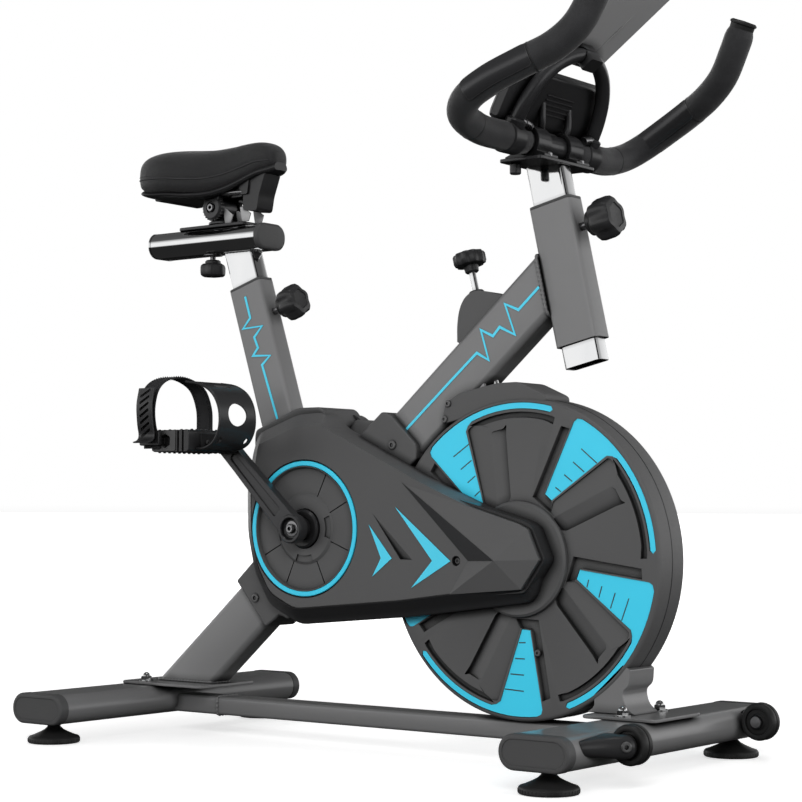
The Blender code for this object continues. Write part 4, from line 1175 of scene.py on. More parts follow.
# Collars: where the seat tube enters the guard, where the beam leaves it, and the clamp block on the beam
def buildCollars():
    def collar(bm):
        outline = rounded([(-0.2160, 0.4150), (-0.2140, 0.4255), (-0.1400, 0.4540),
            (-0.0985, 0.4540), (-0.0780, 0.4300), (-0.1000, 0.3900), (-0.2150, 0.3850)], 0.006, 3)
        addSide(bm, outline, -0.0400, 0.0400)
    obj = rawPiece("seatCollar", form(collar))
    settle(obj, "housing", "frame", bevel=0.0040, steps=3)

    def block(bm):
        corners = [beamAt(s, n) for s,
            n in ((0.236, 0.0465), (0.2905, 0.0455), (0.2990, 0.0320),
            (0.3040, -0.0250), (0.2930, -0.0400), (0.236, -0.0410))]
        addSide(bm, [(p.x, p.z) for p in corners], -0.0300, 0.0300)
    piece("beamBlock", form(block), "housing", "frame", bevel=0.0030, steps=3)

    def boot(bm):
        corners = [beamAt(s, n) for s,
            n in ((-0.0510, 0.0400), (0.0900, 0.0430), (0.0900, -0.0450), (0.0130, -0.0640),
            (-0.0130, -0.0600), (-0.0210, -0.0460), (-0.0510, -0.0420))]
        addSide(bm, [(p.x, p.z) for p in corners], -0.0300, 0.0300)
    piece("beamBoot", form(boot), "housing", "frame", bevel=0.0030, steps=3)
    hump = [(-0.0880, 0.4200), (-0.0700, 0.4380), (-0.0280, 0.4330), (-0.0120, 0.4220), (-0.0300, 0.4000)]
    piece("rearHump", form(addSide, hump, 0.0020, 0.0400), "housing", "frame", bevel=0.0020)
    places = []
    for sign in (-1, 1):
        places.append((beamAt(0.2758, -0.0004, sign * 0.0303), across * sign))
        places.append((beamAt(-0.0386, -0.001, sign * 0.0303), across * sign))
    screws("collarScrews", places, "frame", 0.0060, 0.0024, socket=0.55)


# Drum covers: a wheel-like face with five sectors, each an inlaid wedge, a ridge with two flanks and a flat
drum = {"radius": 0.2015, "face": 0.0300, "sectors": 5, "first": 56.0, "ridgeDeep": 0.0058,
    "panelDeep": 0.0019,
        "moatDeep": 0.0062, "bladeDeep": 0.0026, "rimRound": 0.0045,
        "inner": 0.0860, "outer": 0.1960, "arcIn": 0.1880, "arcSweep": 52.0, "hub": 0.0720,
        "hubRise": 0.0070}


def drumPoints(pairs, turn):
    return [(flyAt.x + r * cos(radians(turn + a)), flyAt.z + r * sin(radians(turn + a))) for a, r in pairs]


def drumArc(radius, start, stop, steps=14):
    return [(start + (stop - start) * k / steps, radius) for k in range(steps + 1)]


# The angle of each sector, mirrored on the left side
def drumSectors(sign):
    turns = [drum["first"] + 360 / drum["sectors"] * k for k in range(drum["sectors"])]
    return [(turn, 1) if sign < 0 else (180 - turn, -1) for turn in turns]


def wedgePairs(swell=0.0):
    d = drum
    pairs = [(8.8, 0.0895 - swell), (0.6, 0.0870 - swell), (-11.2, 0.1800), (-13.0, 0.1850)]
    pairs += drumArc(d["arcIn"] - swell, -15.0, -d["arcSweep"], 12)
    pairs += [(-d["arcSweep"] - 1.3, (d["arcIn"] + d["outer"]) / 2)]
    pairs += drumArc(d["outer"] + swell, -d["arcSweep"], 5.5, 18)
    pairs += [(7.8, 0.1935), (8.6, 0.1880)]
    return pairs


def buildDrum(side, sign):
    low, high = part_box(f"drum_cover_{side}")
    d = drum
    radius, face = d["radius"], d["face"]
    outward = across * sign
    axis = Vector((flyAt.x, 0, flyAt.z))
    r = d["rimRound"]
    shoulder = [(radius - r + r * cos(a), face - r + r * sin(a))
        for a in (radians(k) for k in (0, 22, 45, 67, 90))]
    hub, rise = d["hub"], face + d["hubRise"]
    profile = [(0.0090, rise), (hub - 0.003, rise), (hub, rise - 0.0022), (hub + 0.0012, face + 0.0004),
        (hub + 0.0030, face), *shoulder[::-1], (radius, 0.0003), (radius - 0.004, 0.0003),
        (radius - 0.004, 0.0200), (0.1800, 0.0226), (0.0730, 0.0226), (0.0690, 0.0290), (0.0090, 0.0290)]
    obj = rawPiece(f"drum_{side}", form(addTurned, profile, axis, outward, 144))

    def well(pairs, turn, top, bottom, trim):
        shape = drumPoints(pairs, turn)
        rings = [[Vector((x, sign * (face + top), z)) for x, z in shape],
            [Vector((x, sign * (face - bottom), z)) for x, z in shrink(shape, trim)]]
        return form(addLoft, rings)
    def slope(pairs, turn, ridge, foot, deep, corner):
        shape = rounded(drumPoints(pairs, turn), corner, 3)
        a, b = [Vector(p) for p in drumPoints(ridge, turn)]
        c = Vector(drumPoints([foot], turn)[0])
        square = (b - a).normalized().orthogonal()
        full = (c - a).dot(square)
        rings = [[Vector((x, sign * (face + 0.002), z)) for x, z in shape], []]
        for x, z in shape:
            share = min(max((Vector((x, z)) - a).dot(square) / full, 0.0), 1.2)
            rings[1].append(Vector((x, sign * (face - deep * share), z)))
        return form(addLoft, rings)
    cutters = []
    for turn, flip in drumSectors(sign):
        def facing(pairs):
            return [(a * flip, b) for a, b in pairs]
        cutters.append(well(facing(wedgePairs(0.0008)), turn, 0.002, d["panelDeep"], 0.0004))
        moat = [(19.5, 0.0800), (13.3, 0.1765), (9.0, 0.1785),
            (9.4, 0.0925), (7.5, 0.0880), (-0.8, 0.0865), (-5.6, 0.0742)]
        cutters.append(well(facing(moat), turn, 0.001, d["moatDeep"], 0.0012))
        blade = [(-0.8, 0.0868), (-12.2, 0.1812), (-17.0, 0.1830),
            (-23.5, 0.1700), (-22.6, 0.1620), (-11.4, 0.0745), (-5.6, 0.0742)]
        cutters.append(slope(facing(blade), turn, facing([(-11.4, 0.0720), (-22.6, 0.1620)]),
            facing([(-12.2, 0.1812)])[0], d["bladeDeep"], 0.004))
        trough = [(-12.8, 0.0700), (-11.4, 0.0760), (-22.4, 0.1610), (-24.0, 0.1650),
            (-29.6, 0.1650), (-31.6, 0.1700), (-30.9, 0.1560), (-29.0, 0.0790), (-26.0, 0.0722)]
        cutters.append(slope(facing(trough), turn, facing([(-11.4, 0.0760), (-22.6, 0.1620)]),
            facing([(-29.0, 0.0790)])[0], d["ridgeDeep"], 0.0022))
        slot = [*drumArc(0.1845, -13.5, -53.5, 14), (-55.0, 0.1835),
            (-55.0, 0.1745), *drumArc(0.1765, -50.0, -20.0, 12), (-17.0, 0.1795)]
        cutters.append(well(facing(slot), turn, 0.001, 0.0052, 0.0010))
    carve(obj, cutters)
    settle(obj, "housing", "frame", [f"drum_cover_{side}"], bevel=0.0006, steps=2, sharp=26)

    def inlays(bm):
        for turn, flip in drumSectors(sign):
            shape = drumPoints([(a * flip, b) for a, b in wedgePairs(-0.0004)], turn)
            addSide(bm, shape, sign * (face - d["panelDeep"]
                - 0.0020), sign * (face - d["panelDeep"] + 0.0009))
    piece(f"drumInlays_{side}", form(inlays), "cyan", "frame", sharp=20)

    def ticks(bm):
        for turn, flip in drumSectors(sign):
            for level, start, stop in ((0.104, 3.0, -2.4), (0.124, 1.6, -5.0),
                    (0.144, 0.6, -7.4), (0.164, 0.2, -9.8)):
                pairs = [(start * flip, level - 0.0007), (start * flip, level + 0.0007),
                    (stop * flip, level + 0.0007), (stop * flip, level - 0.0007)]
                addSide(bm, drumPoints(pairs, turn), sign * (face - d["panelDeep"]),
                    sign * (face - d["panelDeep"] + 0.0011))
    piece(f"drumTicks_{side}", form(ticks), "black", "frame", sharp=20)
    disc = [(0.0092, rise + 0.0001), (0.0400, rise + 0.0001),
        (0.0420, rise - 0.0014), (0.0420, rise - 0.003), (0.0092, rise - 0.003)]
    piece(f"drumHub_{side}", form(addTurned, disc, axis, outward, 64), "housing", "frame")
    turn, flip = drumSectors(sign)[0]
    places = [(axis + outward * (face + 0.0003) + (Vector((x, 0, z)) - axis),
        outward) for x, z in drumPoints([(-132.3 * flip, 0.1188)], turn)]
    screws(f"drumScrew_{side}", places, "frame", 0.0042, 0.0020)


def buildHat():
    half = 0.0285
    outline = rounded([(0.0950, 0.4260), (0.0990, 0.4520), (0.1220, 0.4660), (0.1800, 0.4770),
        (0.2140, 0.4775), (0.2560, 0.4590), (0.2520, 0.4400), (0.1700, 0.4400)], 0.007, 4)
    piece("drumHat", form(addSide, outline, -half, half), "housing", "frame", bevel=0.0030)
    seam = [(0.2019, -0.0005), (0.2019, 0.0005), (0.2000, 0.0005), (0.2000, -0.0005)]
    piece("drumSeam", form(addTurned, seam, Vector((flyAt.x, 0, flyAt.z)), across, 128), "black", "frame")
    places = []
    for sign in (-1, 1):
        places += [(Vector((x, sign * (half + 0.0002), z)), across * sign)
            for x, z in ((0.1055, 0.4530), (0.1000, 0.4330))]
    screws("hatScrews", places, "frame", 0.0046, 0.0020)


# Crank arms: forged, tapering to the pedal eye, with a bolt cap
crank = {"bigEnd": 0.0195, "smallEnd": 0.0135, "round": 0.00176, "inside": 0.0800, "outside": 0.0940}


def buildCrank(side, sign):
    pedal = Vector(joints[f"pedal_{side}_spin"]["pos_m"])
    end = Vector((pedal.x, 0, pedal.z))
    hub = Vector((crankAt.x, 0, crankAt.z))
    along = (end - hub).normalized()
    reach = (end - hub).length
    normal = across.cross(along) * -1
    inside, outside = crank["inside"], crank["outside"]
    outward = across * sign
    waist = [(reach * t, 0.0165 - 0.0050 * t) for t in (0.25, 0.5, 0.75)]
    shape = [(crank["bigEnd"] * cos(a), crank["bigEnd"] * sin(a))
        for a in (radians(60 + 240 * k / 24) for k in range(25))]
    shape += [(a, -b) for a, b in waist]
    shape += [(reach + crank["smallEnd"] * cos(a), crank["smallEnd"] * sin(a))
        for a in (radians(-110 + 220 * k / 20) for k in range(21))]
    shape += [(a, b) for a, b in waist[::-1]]
    points = [hub + along * a + normal * b for a, b in shape]
    outline = [(p.x, p.z) for p in points]
    obj = rawPiece(f"crankArm_{side}", form(addSide, outline, sign * inside, sign * outside))
    # a long shallow flute down the outer face
    flute = [hub + along * a + normal * b for a,
        b in rounded([(0.030, -0.0072), (reach - 0.026, -0.0050),
        (reach - 0.026, 0.0050), (0.030, 0.0072)], 0.0048, 5)]
    cutters = [form(addSide, [(p.x, p.z) for p in flute], sign * (outside - 0.0022), sign * 0.10)]
    cup = [(0, -0.0050), (0.0125, -0.0050), (0.0140, -0.0036), (0.0146, 0.01), (0, 0.01)]
    cutters.append(form(addTurned, cup, hub + outward * outside, outward, 48))
    carve(obj, cutters)
    settle(obj, "blackSteel", "crank", [f"crank_arm_{side}"], bevel=crank["round"], steps=3, sharp=30)
    ring = [(0.0142, -0.004), (0.0186, -0.004), (0.0186, 0.0006),
        (0.0178, 0.0014), (0.0152, 0.0014), (0.0142, 0.0002)]
    piece(f"crankRing_{side}", form(addTurned, ring, hub + outward * outside, outward, 48),
        "blackSteel", "crank")
    bolt = [(0, -0.0052), (0.0100, -0.0052), (0.0100, -0.0040), (0.0075, -0.0038), (0, -0.0038)]
    piece(f"crankWasher_{side}",
        form(addTurned, bolt, hub + outward * outside, outward, 32), "steel", "crank")
    screws(f"crankBolt_{side}", [(hub + outward * (outside - 0.0022), outward)],
        "crank", 0.0062, 0.0040, "steel")
    eye = [(0, -0.002), (0.0072, -0.002), (0.0072, 0.0002), (0, 0.0002)]
    piece(f"pedalEye_{side}", form(addTurned, eye, end + outward * (outside + 0.0004),
        outward, 8), "steel", "crank")
    spindle = [(0, 0), (0.0092, 0), (0.0092, 0.0030), (0.0053, 0.0034), (0.0053, 0.0860), (0, 0.0860)]
    piece(f"pedalSpindle_{side}", form(addTurned, spindle, end + outward * (outside + 0.0006),
        outward, 32), "steel", "crank")
    boss = [(0.0092, 0.0), (0.0230, 0.0), (0.0256, -0.0030), (0.0256, -0.0220), (0.0092, -0.0220)]
    at = hub + outward * 0.0690
    piece(f"crankBoss_{side}", form(addTurned, boss, at, outward, 56), "black", "frame")
    collar = [(0, 0.0100), (0.0130, 0.0100), (0.0150, 0.0080), (0.0150, 0.0), (0, 0.0)]
    piece(f"crankCollar_{side}",
        form(addTurned, collar, at + outward * 0.0004, outward, 40), "blackSteel", "crank")


# Pedal block with windows and ribs, toe cage, strap with its buckle and perforated tail
pedalSize = {"deep": 0.066, "tall": 0.029, "near": 0.0985, "far": 0.1945, "wall": 0.006}


def buildPedal(side, sign):
    body = f"pedal_{side}"
    centre = Vector(joints[f"{body}_spin"]["pos_m"])
    mid = Vector((centre.x, 0, centre.z))
    p = pedalSize
    block = ovalBox(p["deep"], p["tall"], 0.0045, 4)
    rings = [ringAt(mid + across * (sign * y), forward, up, block) for y in (p["near"], p["far"])]
    obj = rawPiece(f"pedalBlock_{side}", form(addLoft, rings))
    cutters = []
    for x in (-0.0205, 0.0205):
        for y0, y1 in ((0.106, 0.140), (0.147, 0.178)):
            window = rounded([(x - 0.0065, y0), (x + 0.0065, y0),
                (x + 0.0065, y1), (x - 0.0065, y1)], 0.003, 3)
            cutters.append(form(addSlab, [(a, sign * b) for a, b in window],
                mid, forward, across, [(-0.02, 0), (0.02, 0)]))
    bore = [(0, 0), (0.0062, 0), (0.0062, 0.09), (0, 0.09)]
    cutters.append(form(addTurned, bore, mid + across * (sign * 0.094), across * sign, 32))
    notch = [(0, 0.002), (0.0090, 0.002), (0.0082, -0.0045), (0, -0.0045)]
    tip = mid + across * (sign * p["far"])
    notchAt = tip - forward * 0.0080
    cutters.append(form(addTurned, notch, notchAt, across * sign, 6))
    for x in (0.014, 0.0225):
        rib = [(x - 0.0014, -0.02), (x + 0.0014, -0.02), (x + 0.0014, 0.02), (x - 0.0014, 0.02)]
        cutters.append(form(addSide, [(mid.x + a, mid.z + b) for a, b in rib],
            sign * (p["far"] - 0.0035), sign * 0.21))
    carve(obj, cutters)
    settle(obj, "black", body, [body], bevel=0.0011, steps=2, sharp=30)
    plate = rounded([(-0.0325, -0.0135), (0.0100, -0.0135), (0.0100, 0.0135), (-0.0325, 0.0135)], 0.003, 3)

    def endPlate(bm):
        addSide(bm, [(mid.x + a, mid.z + b) for a, b in plate],
            sign * (p["far"] - 0.0004), sign * (p["far"] + 0.0012), 0.0004)
    settle(carve(rawPiece(f"pedalPlate_{side}", form(endPlate)),
        [form(addTurned, [(a + 0.0012 if a else 0, b) for a,
        b in notch], notchAt, across * sign, 6)]), "greyCap", body)

    def treads(bm):
        for face in (-1, 1):
            for x in (-0.029, -0.0105, 0.0105, 0.029):
                for k in range(9):
                    spot = mid + across * (sign * (0.108 + 0.0095 * k)) + forward * x
                    at = spot + up * face * (p["tall"] / 2 - 0.0002)
                    addTurned(bm, [(0, 0), (0.0022, 0), (0.0015, 0.0014), (0, 0.0014)], at, up * face, 8)
    piece(f"pedalTreads_{side}", form(treads), "black", body)
    # toe cage: a curved band fixed to the front of the block, rising and folding back over the toes
    path = smoothPath([(0.0335, 0, -0.0105), (0.0480, 0, -0.0095),
        (0.0640, 0, -0.0010), (0.0735, 0, 0.0180), (0.0725, 0, 0.0420),
        (0.0610, 0, 0.0620), (0.0400, 0, 0.0740), (0.0140, 0, 0.0785)], 6)
    outer, inner = [], []
    for k, q in enumerate(path):
        way = (path[min(k + 1, len(path) - 1)] - path[max(k - 1, 0)]).normalized()
        flat = Vector((way.z, 0, -way.x)) * 0.00125
        outer.append((mid.x + q.x + flat.x, mid.z + q.z + flat.z))
        inner.append((mid.x + q.x - flat.x, mid.z + q.z - flat.z))
    cage = rawPiece(f"toeCage_{side}", form(addSide, outer + inner[::-1], sign * 0.110, sign * 0.180))
    hole = [(0.0185 * cos(a), 0.0150 * sin(a)) for a in (radians(k * 10) for k in range(36))]
    at = mid + across * (sign * 0.145)
    cutters = [form(addSlab, hole, at + up * 0.034 + forward * 0.045, across, up, [(0, 0), (0.05, 0)])]
    slots = ((0.047, 0.030, 0.0060), (0.026, 0.024, 0.0050))
    for x, length, wide in slots:
        slit = ovalBox(wide, length, wide * 0.45, 4)
        cutters.append(form(addSlab, slit, at + forward * x, forward, across, [(0.045, 0), (0.095, 0)]))
    for y in (0.1185, 0.1715):
        cutters.append(form(addTurned, [(0, 0.0), (0.0038, 0.0), (0.0038, 0.06), (0, 0.06)],
            mid + across * (sign * y) + forward * 0.035, forward, 16))
    carve(cage, cutters)
    settle(cage, "black", body, [f"toe_cage_{side}"], bevel=0.0005, steps=2, sharp=30)
    for label, y in (("Rim", 0.1795), ("RimIn", 0.1105)):
        edge = [Vector((mid.x, sign * y, mid.z)) + q for q in path]
        piece(f"cage{label}_{side}", form(addTube, edge, 0.0018, 10), "black", body)
    foot = rounded([(0.0300, -0.0125), (0.0345, -0.0125), (0.0345, 0.0100), (0.0300, 0.0100)], 0.001, 2)
    piece(f"cagePlate_{side}", form(addSide, [(mid.x + a, mid.z + b) for a, b in foot],
        sign * 0.118, sign * 0.172), "black", body, bevel=0.0008)
    screws(f"cageBolts_{side}", [(mid + across * (sign * y) + forward * 0.0350 - up * 0.002,
        forward) for y in (0.130, 0.160)], body, 0.0034, 0.0018)
    # strap: a band across the foot in a plane square to the bike, and a free tail outside the pedal
    strapAt = mid - forward * 0.0300
    route = smoothPath([(0, 0.0965, 0.000), (0, 0.0955, 0.022), (0, 0.0975, 0.048),
        (0, 0.1120, 0.073), (0, 0.1450, 0.0855), (0, 0.1780, 0.0830), (0, 0.1990, 0.0690),
        (0, 0.2070, 0.0440), (0, 0.2050, 0.0200), (0, 0.1985, 0.0050), (0, 0.1975, -0.0100)], 5)
    band = [(0.0011 * copysign(abs(cos(a)) ** 0.4, cos(a)), 0.0145 * copysign(abs(sin(a)) ** 0.4, sin(a)))
        for a in (radians(k * 30 + 15) for k in range(12))]

    def strapPath(points):
        return [strapAt + across * (sign * q.y) + up * q.z for q in points]

    def addBand(bm, points, width=1.0):
        rings = []
        for k, q in enumerate(points):
            way = (points[min(k + 1, len(points) - 1)] - points[max(k - 1, 0)]).normalized()
            rings.append(ringAt(q, forward.cross(way), forward, [(a, b * width) for a, b in band]))
        addLoft(bm, rings)
    piece(f"strap_{side}", form(addBand, strapPath(route)), "webbing", body, sharp=50)
    tail = smoothPath([(0, 0.2080, 0.0700), (0, 0.2125, 0.0480), (0, 0.2110, 0.0240),
        (0, 0.2080, 0.0080), (0, 0.2110, 0.0010), (0, 0.2190, -0.0020)], 6)
    tailObj = rawPiece(f"strapTail_{side}", form(addBand, strapPath(tail)))
    cutters = []
    for k in range(7):
        z = 0.0105 + 0.0088 * k
        slit = [(-0.0085, -0.0052), (-0.0070, -0.0062), (0.0085, 0.0030),
            (0.0085, 0.0052), (0.0070, 0.0062), (-0.0085, -0.0028)]
        cutters.append(form(addSlab, slit, strapAt + up * z + across * (sign * 0.200),
            forward, up, [(-0.03, 0), (0.03, 0)]))
    carve(tailObj, cutters)
    settle(tailObj, "black", body, sharp=40)
    ridge = [[q + forward * x for q in strapPath(route[2:-6])] for x in (-0.0100, 0.0100)]
    grow(f"strapStitches_{side}", ridge, "beads",
        {"Spacing": 0.0042, "Size": (0.0028, 0.0009, 0.0050)}, "black", body)

    def buckle(bm):
        outline = rounded([(-0.018, -0.010), (0.018, -0.010), (0.018, 0.009), (-0.018, 0.009)], 0.003, 3)
        addSlab(bm, outline, strapAt + across * (sign * 0.2005) + up * 0.004, forward,
            up, [(-0.0030, 0.0006), (-0.0024, 0), (0.0024, 0), (0.0030, 0.0006)])
    piece(f"buckle_{side}", form(buckle), "black", body, bevel=0.0006)


def buildDrive():
    for side, sign in sides:
        buildGuard(side, sign)
        buildDrum(side, sign)
        buildCrank(side, sign)
        buildPedal(side, sign)
    buildCollars()
    buildHat()
    print("drive built")


buildDrive()


# Seat: chrome post and slotted bar, carriage, clamp, rails, base and padded cover
seat = {
    "post": (0.0515, 0.0255, 0.0060), "barDeep": 0.036, "barWide": 0.060, "slot": (0.120, 0.0094),
    "plate": (0.128, 0.040, 0.0085), "drum": 0.0140, "rail": 0.0034,
}
saddle = {
    # along the bike, half width, lowest and highest point
    "stations": [
        (-0.4250, 0.0380, 0.7770, 0.8060), (-0.4210, 0.0580, 0.7700, 0.8180),
        (-0.4080, 0.0740, 0.7650, 0.8270), (-0.3850, 0.0810, 0.7610, 0.8310),
        (-0.3600, 0.0790, 0.7600, 0.8310), (-0.3350, 0.0670, 0.7580, 0.8290),
        (-0.3080, 0.0500, 0.7595, 0.8280), (-0.2820, 0.0380, 0.7665, 0.8300),
        (-0.2560, 0.0310, 0.7765, 0.8335), (-0.2330, 0.0275, 0.7850, 0.8345),
        (-0.2140, 0.0240, 0.7885, 0.8300), (-0.2030, 0.0175, 0.7920, 0.8190)],
    "voxel": 0.0045, "slack": 0.0035, "cap": 0.0060, "heldRim": 0.010, "frames": 20,
}
cover = {"uniform_pressure_force": 4.0, "quality": 5, "mass": 0.15, "tension_stiffness": 40,
    "bending_stiffness": 12,
         "use_pressure": True, "vertex_group_mass": "held"}
tiltAt = Vector(joints["saddle_tilt"]["pos_m"])


def saddleStation(x):
    rows = saddle["stations"]
    x = min(max(x, rows[0][0]), rows[-1][0])
    k = max(i for i, row in enumerate(rows[:-1]) if row[0] <= x)
    before, a, b, after = rows[max(k - 1, 0)], rows[k], rows[k + 1], rows[min(k + 2, len(rows) - 1)]
    t = (x - a[0]) / (b[0] - a[0])
    values = []
    for i in (1, 2, 3):
        slopeA = (b[i] - before[i]) / (b[0] - before[0]) * (b[0] - a[0])
        slopeB = (after[i] - a[i]) / (after[0] - a[0]) * (b[0] - a[0])
        values.append(a[i] * (2 * t**3 - 3 * t**2 + 1) + b[i] * (3 * t**2 - 2 * t**3)
            + slopeA * (t**3 - 2 * t**2 + t) + slopeB * (t**3 - t**2))
    return values


def saddleRing(x, trim=0.0, steps=44):
    half, low, high = saddleStation(x)
    ring = []
    for k in range(steps):
        a = 2 * pi * k / steps
        c, s = cos(a), sin(a)
        y = (half - trim) * copysign(abs(c) ** 0.55, c)
        if s >= 0:
            z = low + (high - low) * (0.45 + 0.55 * s ** 0.75) - trim * s
        else:
            z = low + (high - low) * 0.45 * (1 - abs(s) ** 0.35) - trim * s
        # a shallow channel down the middle of the rear half
        if s > 0.6 and x < -0.30:
            z -= 0.0035 * exp(-(y / 0.012) ** 2) * min(1, (-0.30 - x) / 0.03) * min(1, (x + 0.42) / 0.02)
        ring.append(Vector((x, y, z)))
    return ring


def stationXs(count):
    low, high = saddle["stations"][0][0], saddle["stations"][-1][0]
    return [low + (high - low) * (0.5 - 0.5 * cos(pi * k / count)) for k in range(count + 1)]


def buildPad():
    trim = saddle["slack"]
    pad = rawPiece("saddlePad", form(addLoft, [saddleRing(x, trim) for x in stationXs(36)]))
    mod = pad.modifiers.new("remesh", "REMESH")
    mod.mode = "VOXEL"
    mod.voxel_size = saddle["voxel"]
    bake(pad)
    start = [v.co.copy() for v in pad.data.vertices]
    cloth = pad.modifiers.new("cloth", "CLOTH")
    group = pad.vertex_groups.new(name="held")
    low = min(v.z for v in start) + saddle["heldRim"]
    group.add([i for i, v in enumerate(start) if v.z < low], 1.0, "REPLACE")
    for key, value in cover.items():
        setattr(cloth.settings, key, value)
    cloth.settings.effector_weights.gravity = 0
    cloth.point_cache.frame_end = saddle["frames"]
    for step in range(1, saddle["frames"] + 1):
        scene.frame_set(step)
    bake(pad)
    scene.frame_set(1)
    for v, home in zip(pad.data.vertices, start):
        move = v.co - home
        if move.length > saddle["cap"]:
            v.co = home + move.normalized() * saddle["cap"]
    pad.vertex_groups.clear()
    smooth = pad.modifiers.new("soften", "SMOOTH")
    smooth.factor = 0.5
    smooth.iterations = 3
    bake(pad)
    finer = pad.modifiers.new("finer", "SUBSURF")
    finer.levels = 1
    finer.render_levels = 1
    bake(pad)
    settle(pad, "leather", "saddle", ["saddle_pad"], sharp=80)
    return pad


# A seam line lies on the pad: each point is dropped on to the simulated cover from outside
def onCover(tree, point, inward):
    hit, normal, _, _ = tree.ray_cast(point, inward)
    return (hit, normal) if hit else (point, -inward)


def buildSeams(pad):
    tree = BVHTree.FromObject(pad, bpy.context.evaluated_depsgraph_get())
    for side, sign in sides:
        lower, stitch = [], []
        for x in [-0.4140 + 0.2030 * k / 70 for k in range(71)]:
            half, low, high = saddleStation(x)
            z = low + (high - low) * 0.34
            hit, normal = onCover(tree, Vector((x, sign * 0.2, z)), -across * sign)
            lower.append(hit + normal * 0.0002)
            hit, normal = onCover(tree, Vector((x, sign * 0.2, z + 0.0042)), -across * sign)
            stitch.append(hit + normal * 0.0004)
        piece(f"saddlePiping_{side}", form(addTube, lower, 0.0010, 8), "black", "saddle", sharp=60)
        grow(f"saddleStitches_{side}", [stitch], "beads",
            {"Spacing": 0.0044, "Size": (0.0030, 0.0009, 0.0007)}, "black", "saddle")


def buildSaddle():
    pad = buildPad()
    buildSeams(pad)

    def base(bm):
        rings = []
        for x in stationXs(26):
            half, low, high = saddleStation(x)
            rim = []
            for k in range(32):
                a = 2 * pi * k / 32
                c, s = cos(a), sin(a)
                y = max(half - 0.0035, 0.006) * copysign(abs(c) ** 0.6, c)
                rim.append(Vector((x * 0.992 - 0.0025, y * 0.97,
                    low + 0.0045 + 0.0065 * s - 0.0030 * abs(c))))
            rings.append(rim)
        addLoft(bm, rings)
    shell = rawPiece("saddleBase", form(base))
    settle(shell, "black", "saddle", ["saddle_base"], bevel=0.0006, steps=2, sharp=40)
    nose = [(-0.2600, 0.7370), (-0.2340, 0.7340), (-0.2300, 0.7560), (-0.2180, 0.7880), (-0.2580, 0.7880)]
    block = rawPiece("saddleNose", form(addSide, rounded(nose, 0.005, 3), -0.0170, 0.0170))
    hollow = [(-0.2550, 0.7300), (-0.2400, 0.7300), (-0.2380, 0.7520), (-0.2540, 0.7540)]
    carve(block, [form(addSide, hollow, -0.0130, 0.0130)])
    settle(block, "black", "saddle", bevel=0.0012)

    def ribs(bm):
        for sign in (-1, 1):
            for x0, x1, z0, z1 in ((-0.2340, -0.2810, 0.7850, 0.7560), (-0.2560, -0.3100, 0.7800, 0.7580),
                    (-0.3900, -0.3560, 0.7740, 0.7600), (-0.4080, -0.3800, 0.7800, 0.7640)):
                y = sign * (0.016 if x0 > -0.35 else 0.030)
                addSide(bm, [(x0, z0), (x1, z0 - 0.002), (x1, z1),
                    (x1 * 0.6 + x0 * 0.4, z1)], y - 0.0014, y + 0.0014)
        for x in (-0.3980, -0.2560):
            addSide(bm, rounded([(x - 0.010, 0.7810), (x + 0.010, 0.7810),
                (x + 0.007, 0.7585), (x - 0.007, 0.7585)], 0.003, 3),
                -0.0430 if x < -0.3 else -0.0200, 0.0430 if x < -0.3 else 0.0200)
    piece("saddleRibs", form(ribs), "black", "saddle", bevel=0.0006)
    half = [(-0.398, 0.040, 0.7645), (-0.388, 0.032, 0.7625),
        (-0.372, 0.024, 0.7625), (-0.312, 0.0215, 0.7625), (-0.272, 0.0200, 0.7625),
        (-0.258, 0.0140, 0.7625), (-0.2555, 0.0, 0.7625)]
    path = smoothPath([(x, -y, z) for x, y, z in half] + half[-2::-1], 5)
    piece("saddleRails", form(addTube, path, seat["rail"], 16), "steel", "saddle", ["saddle_rails"])


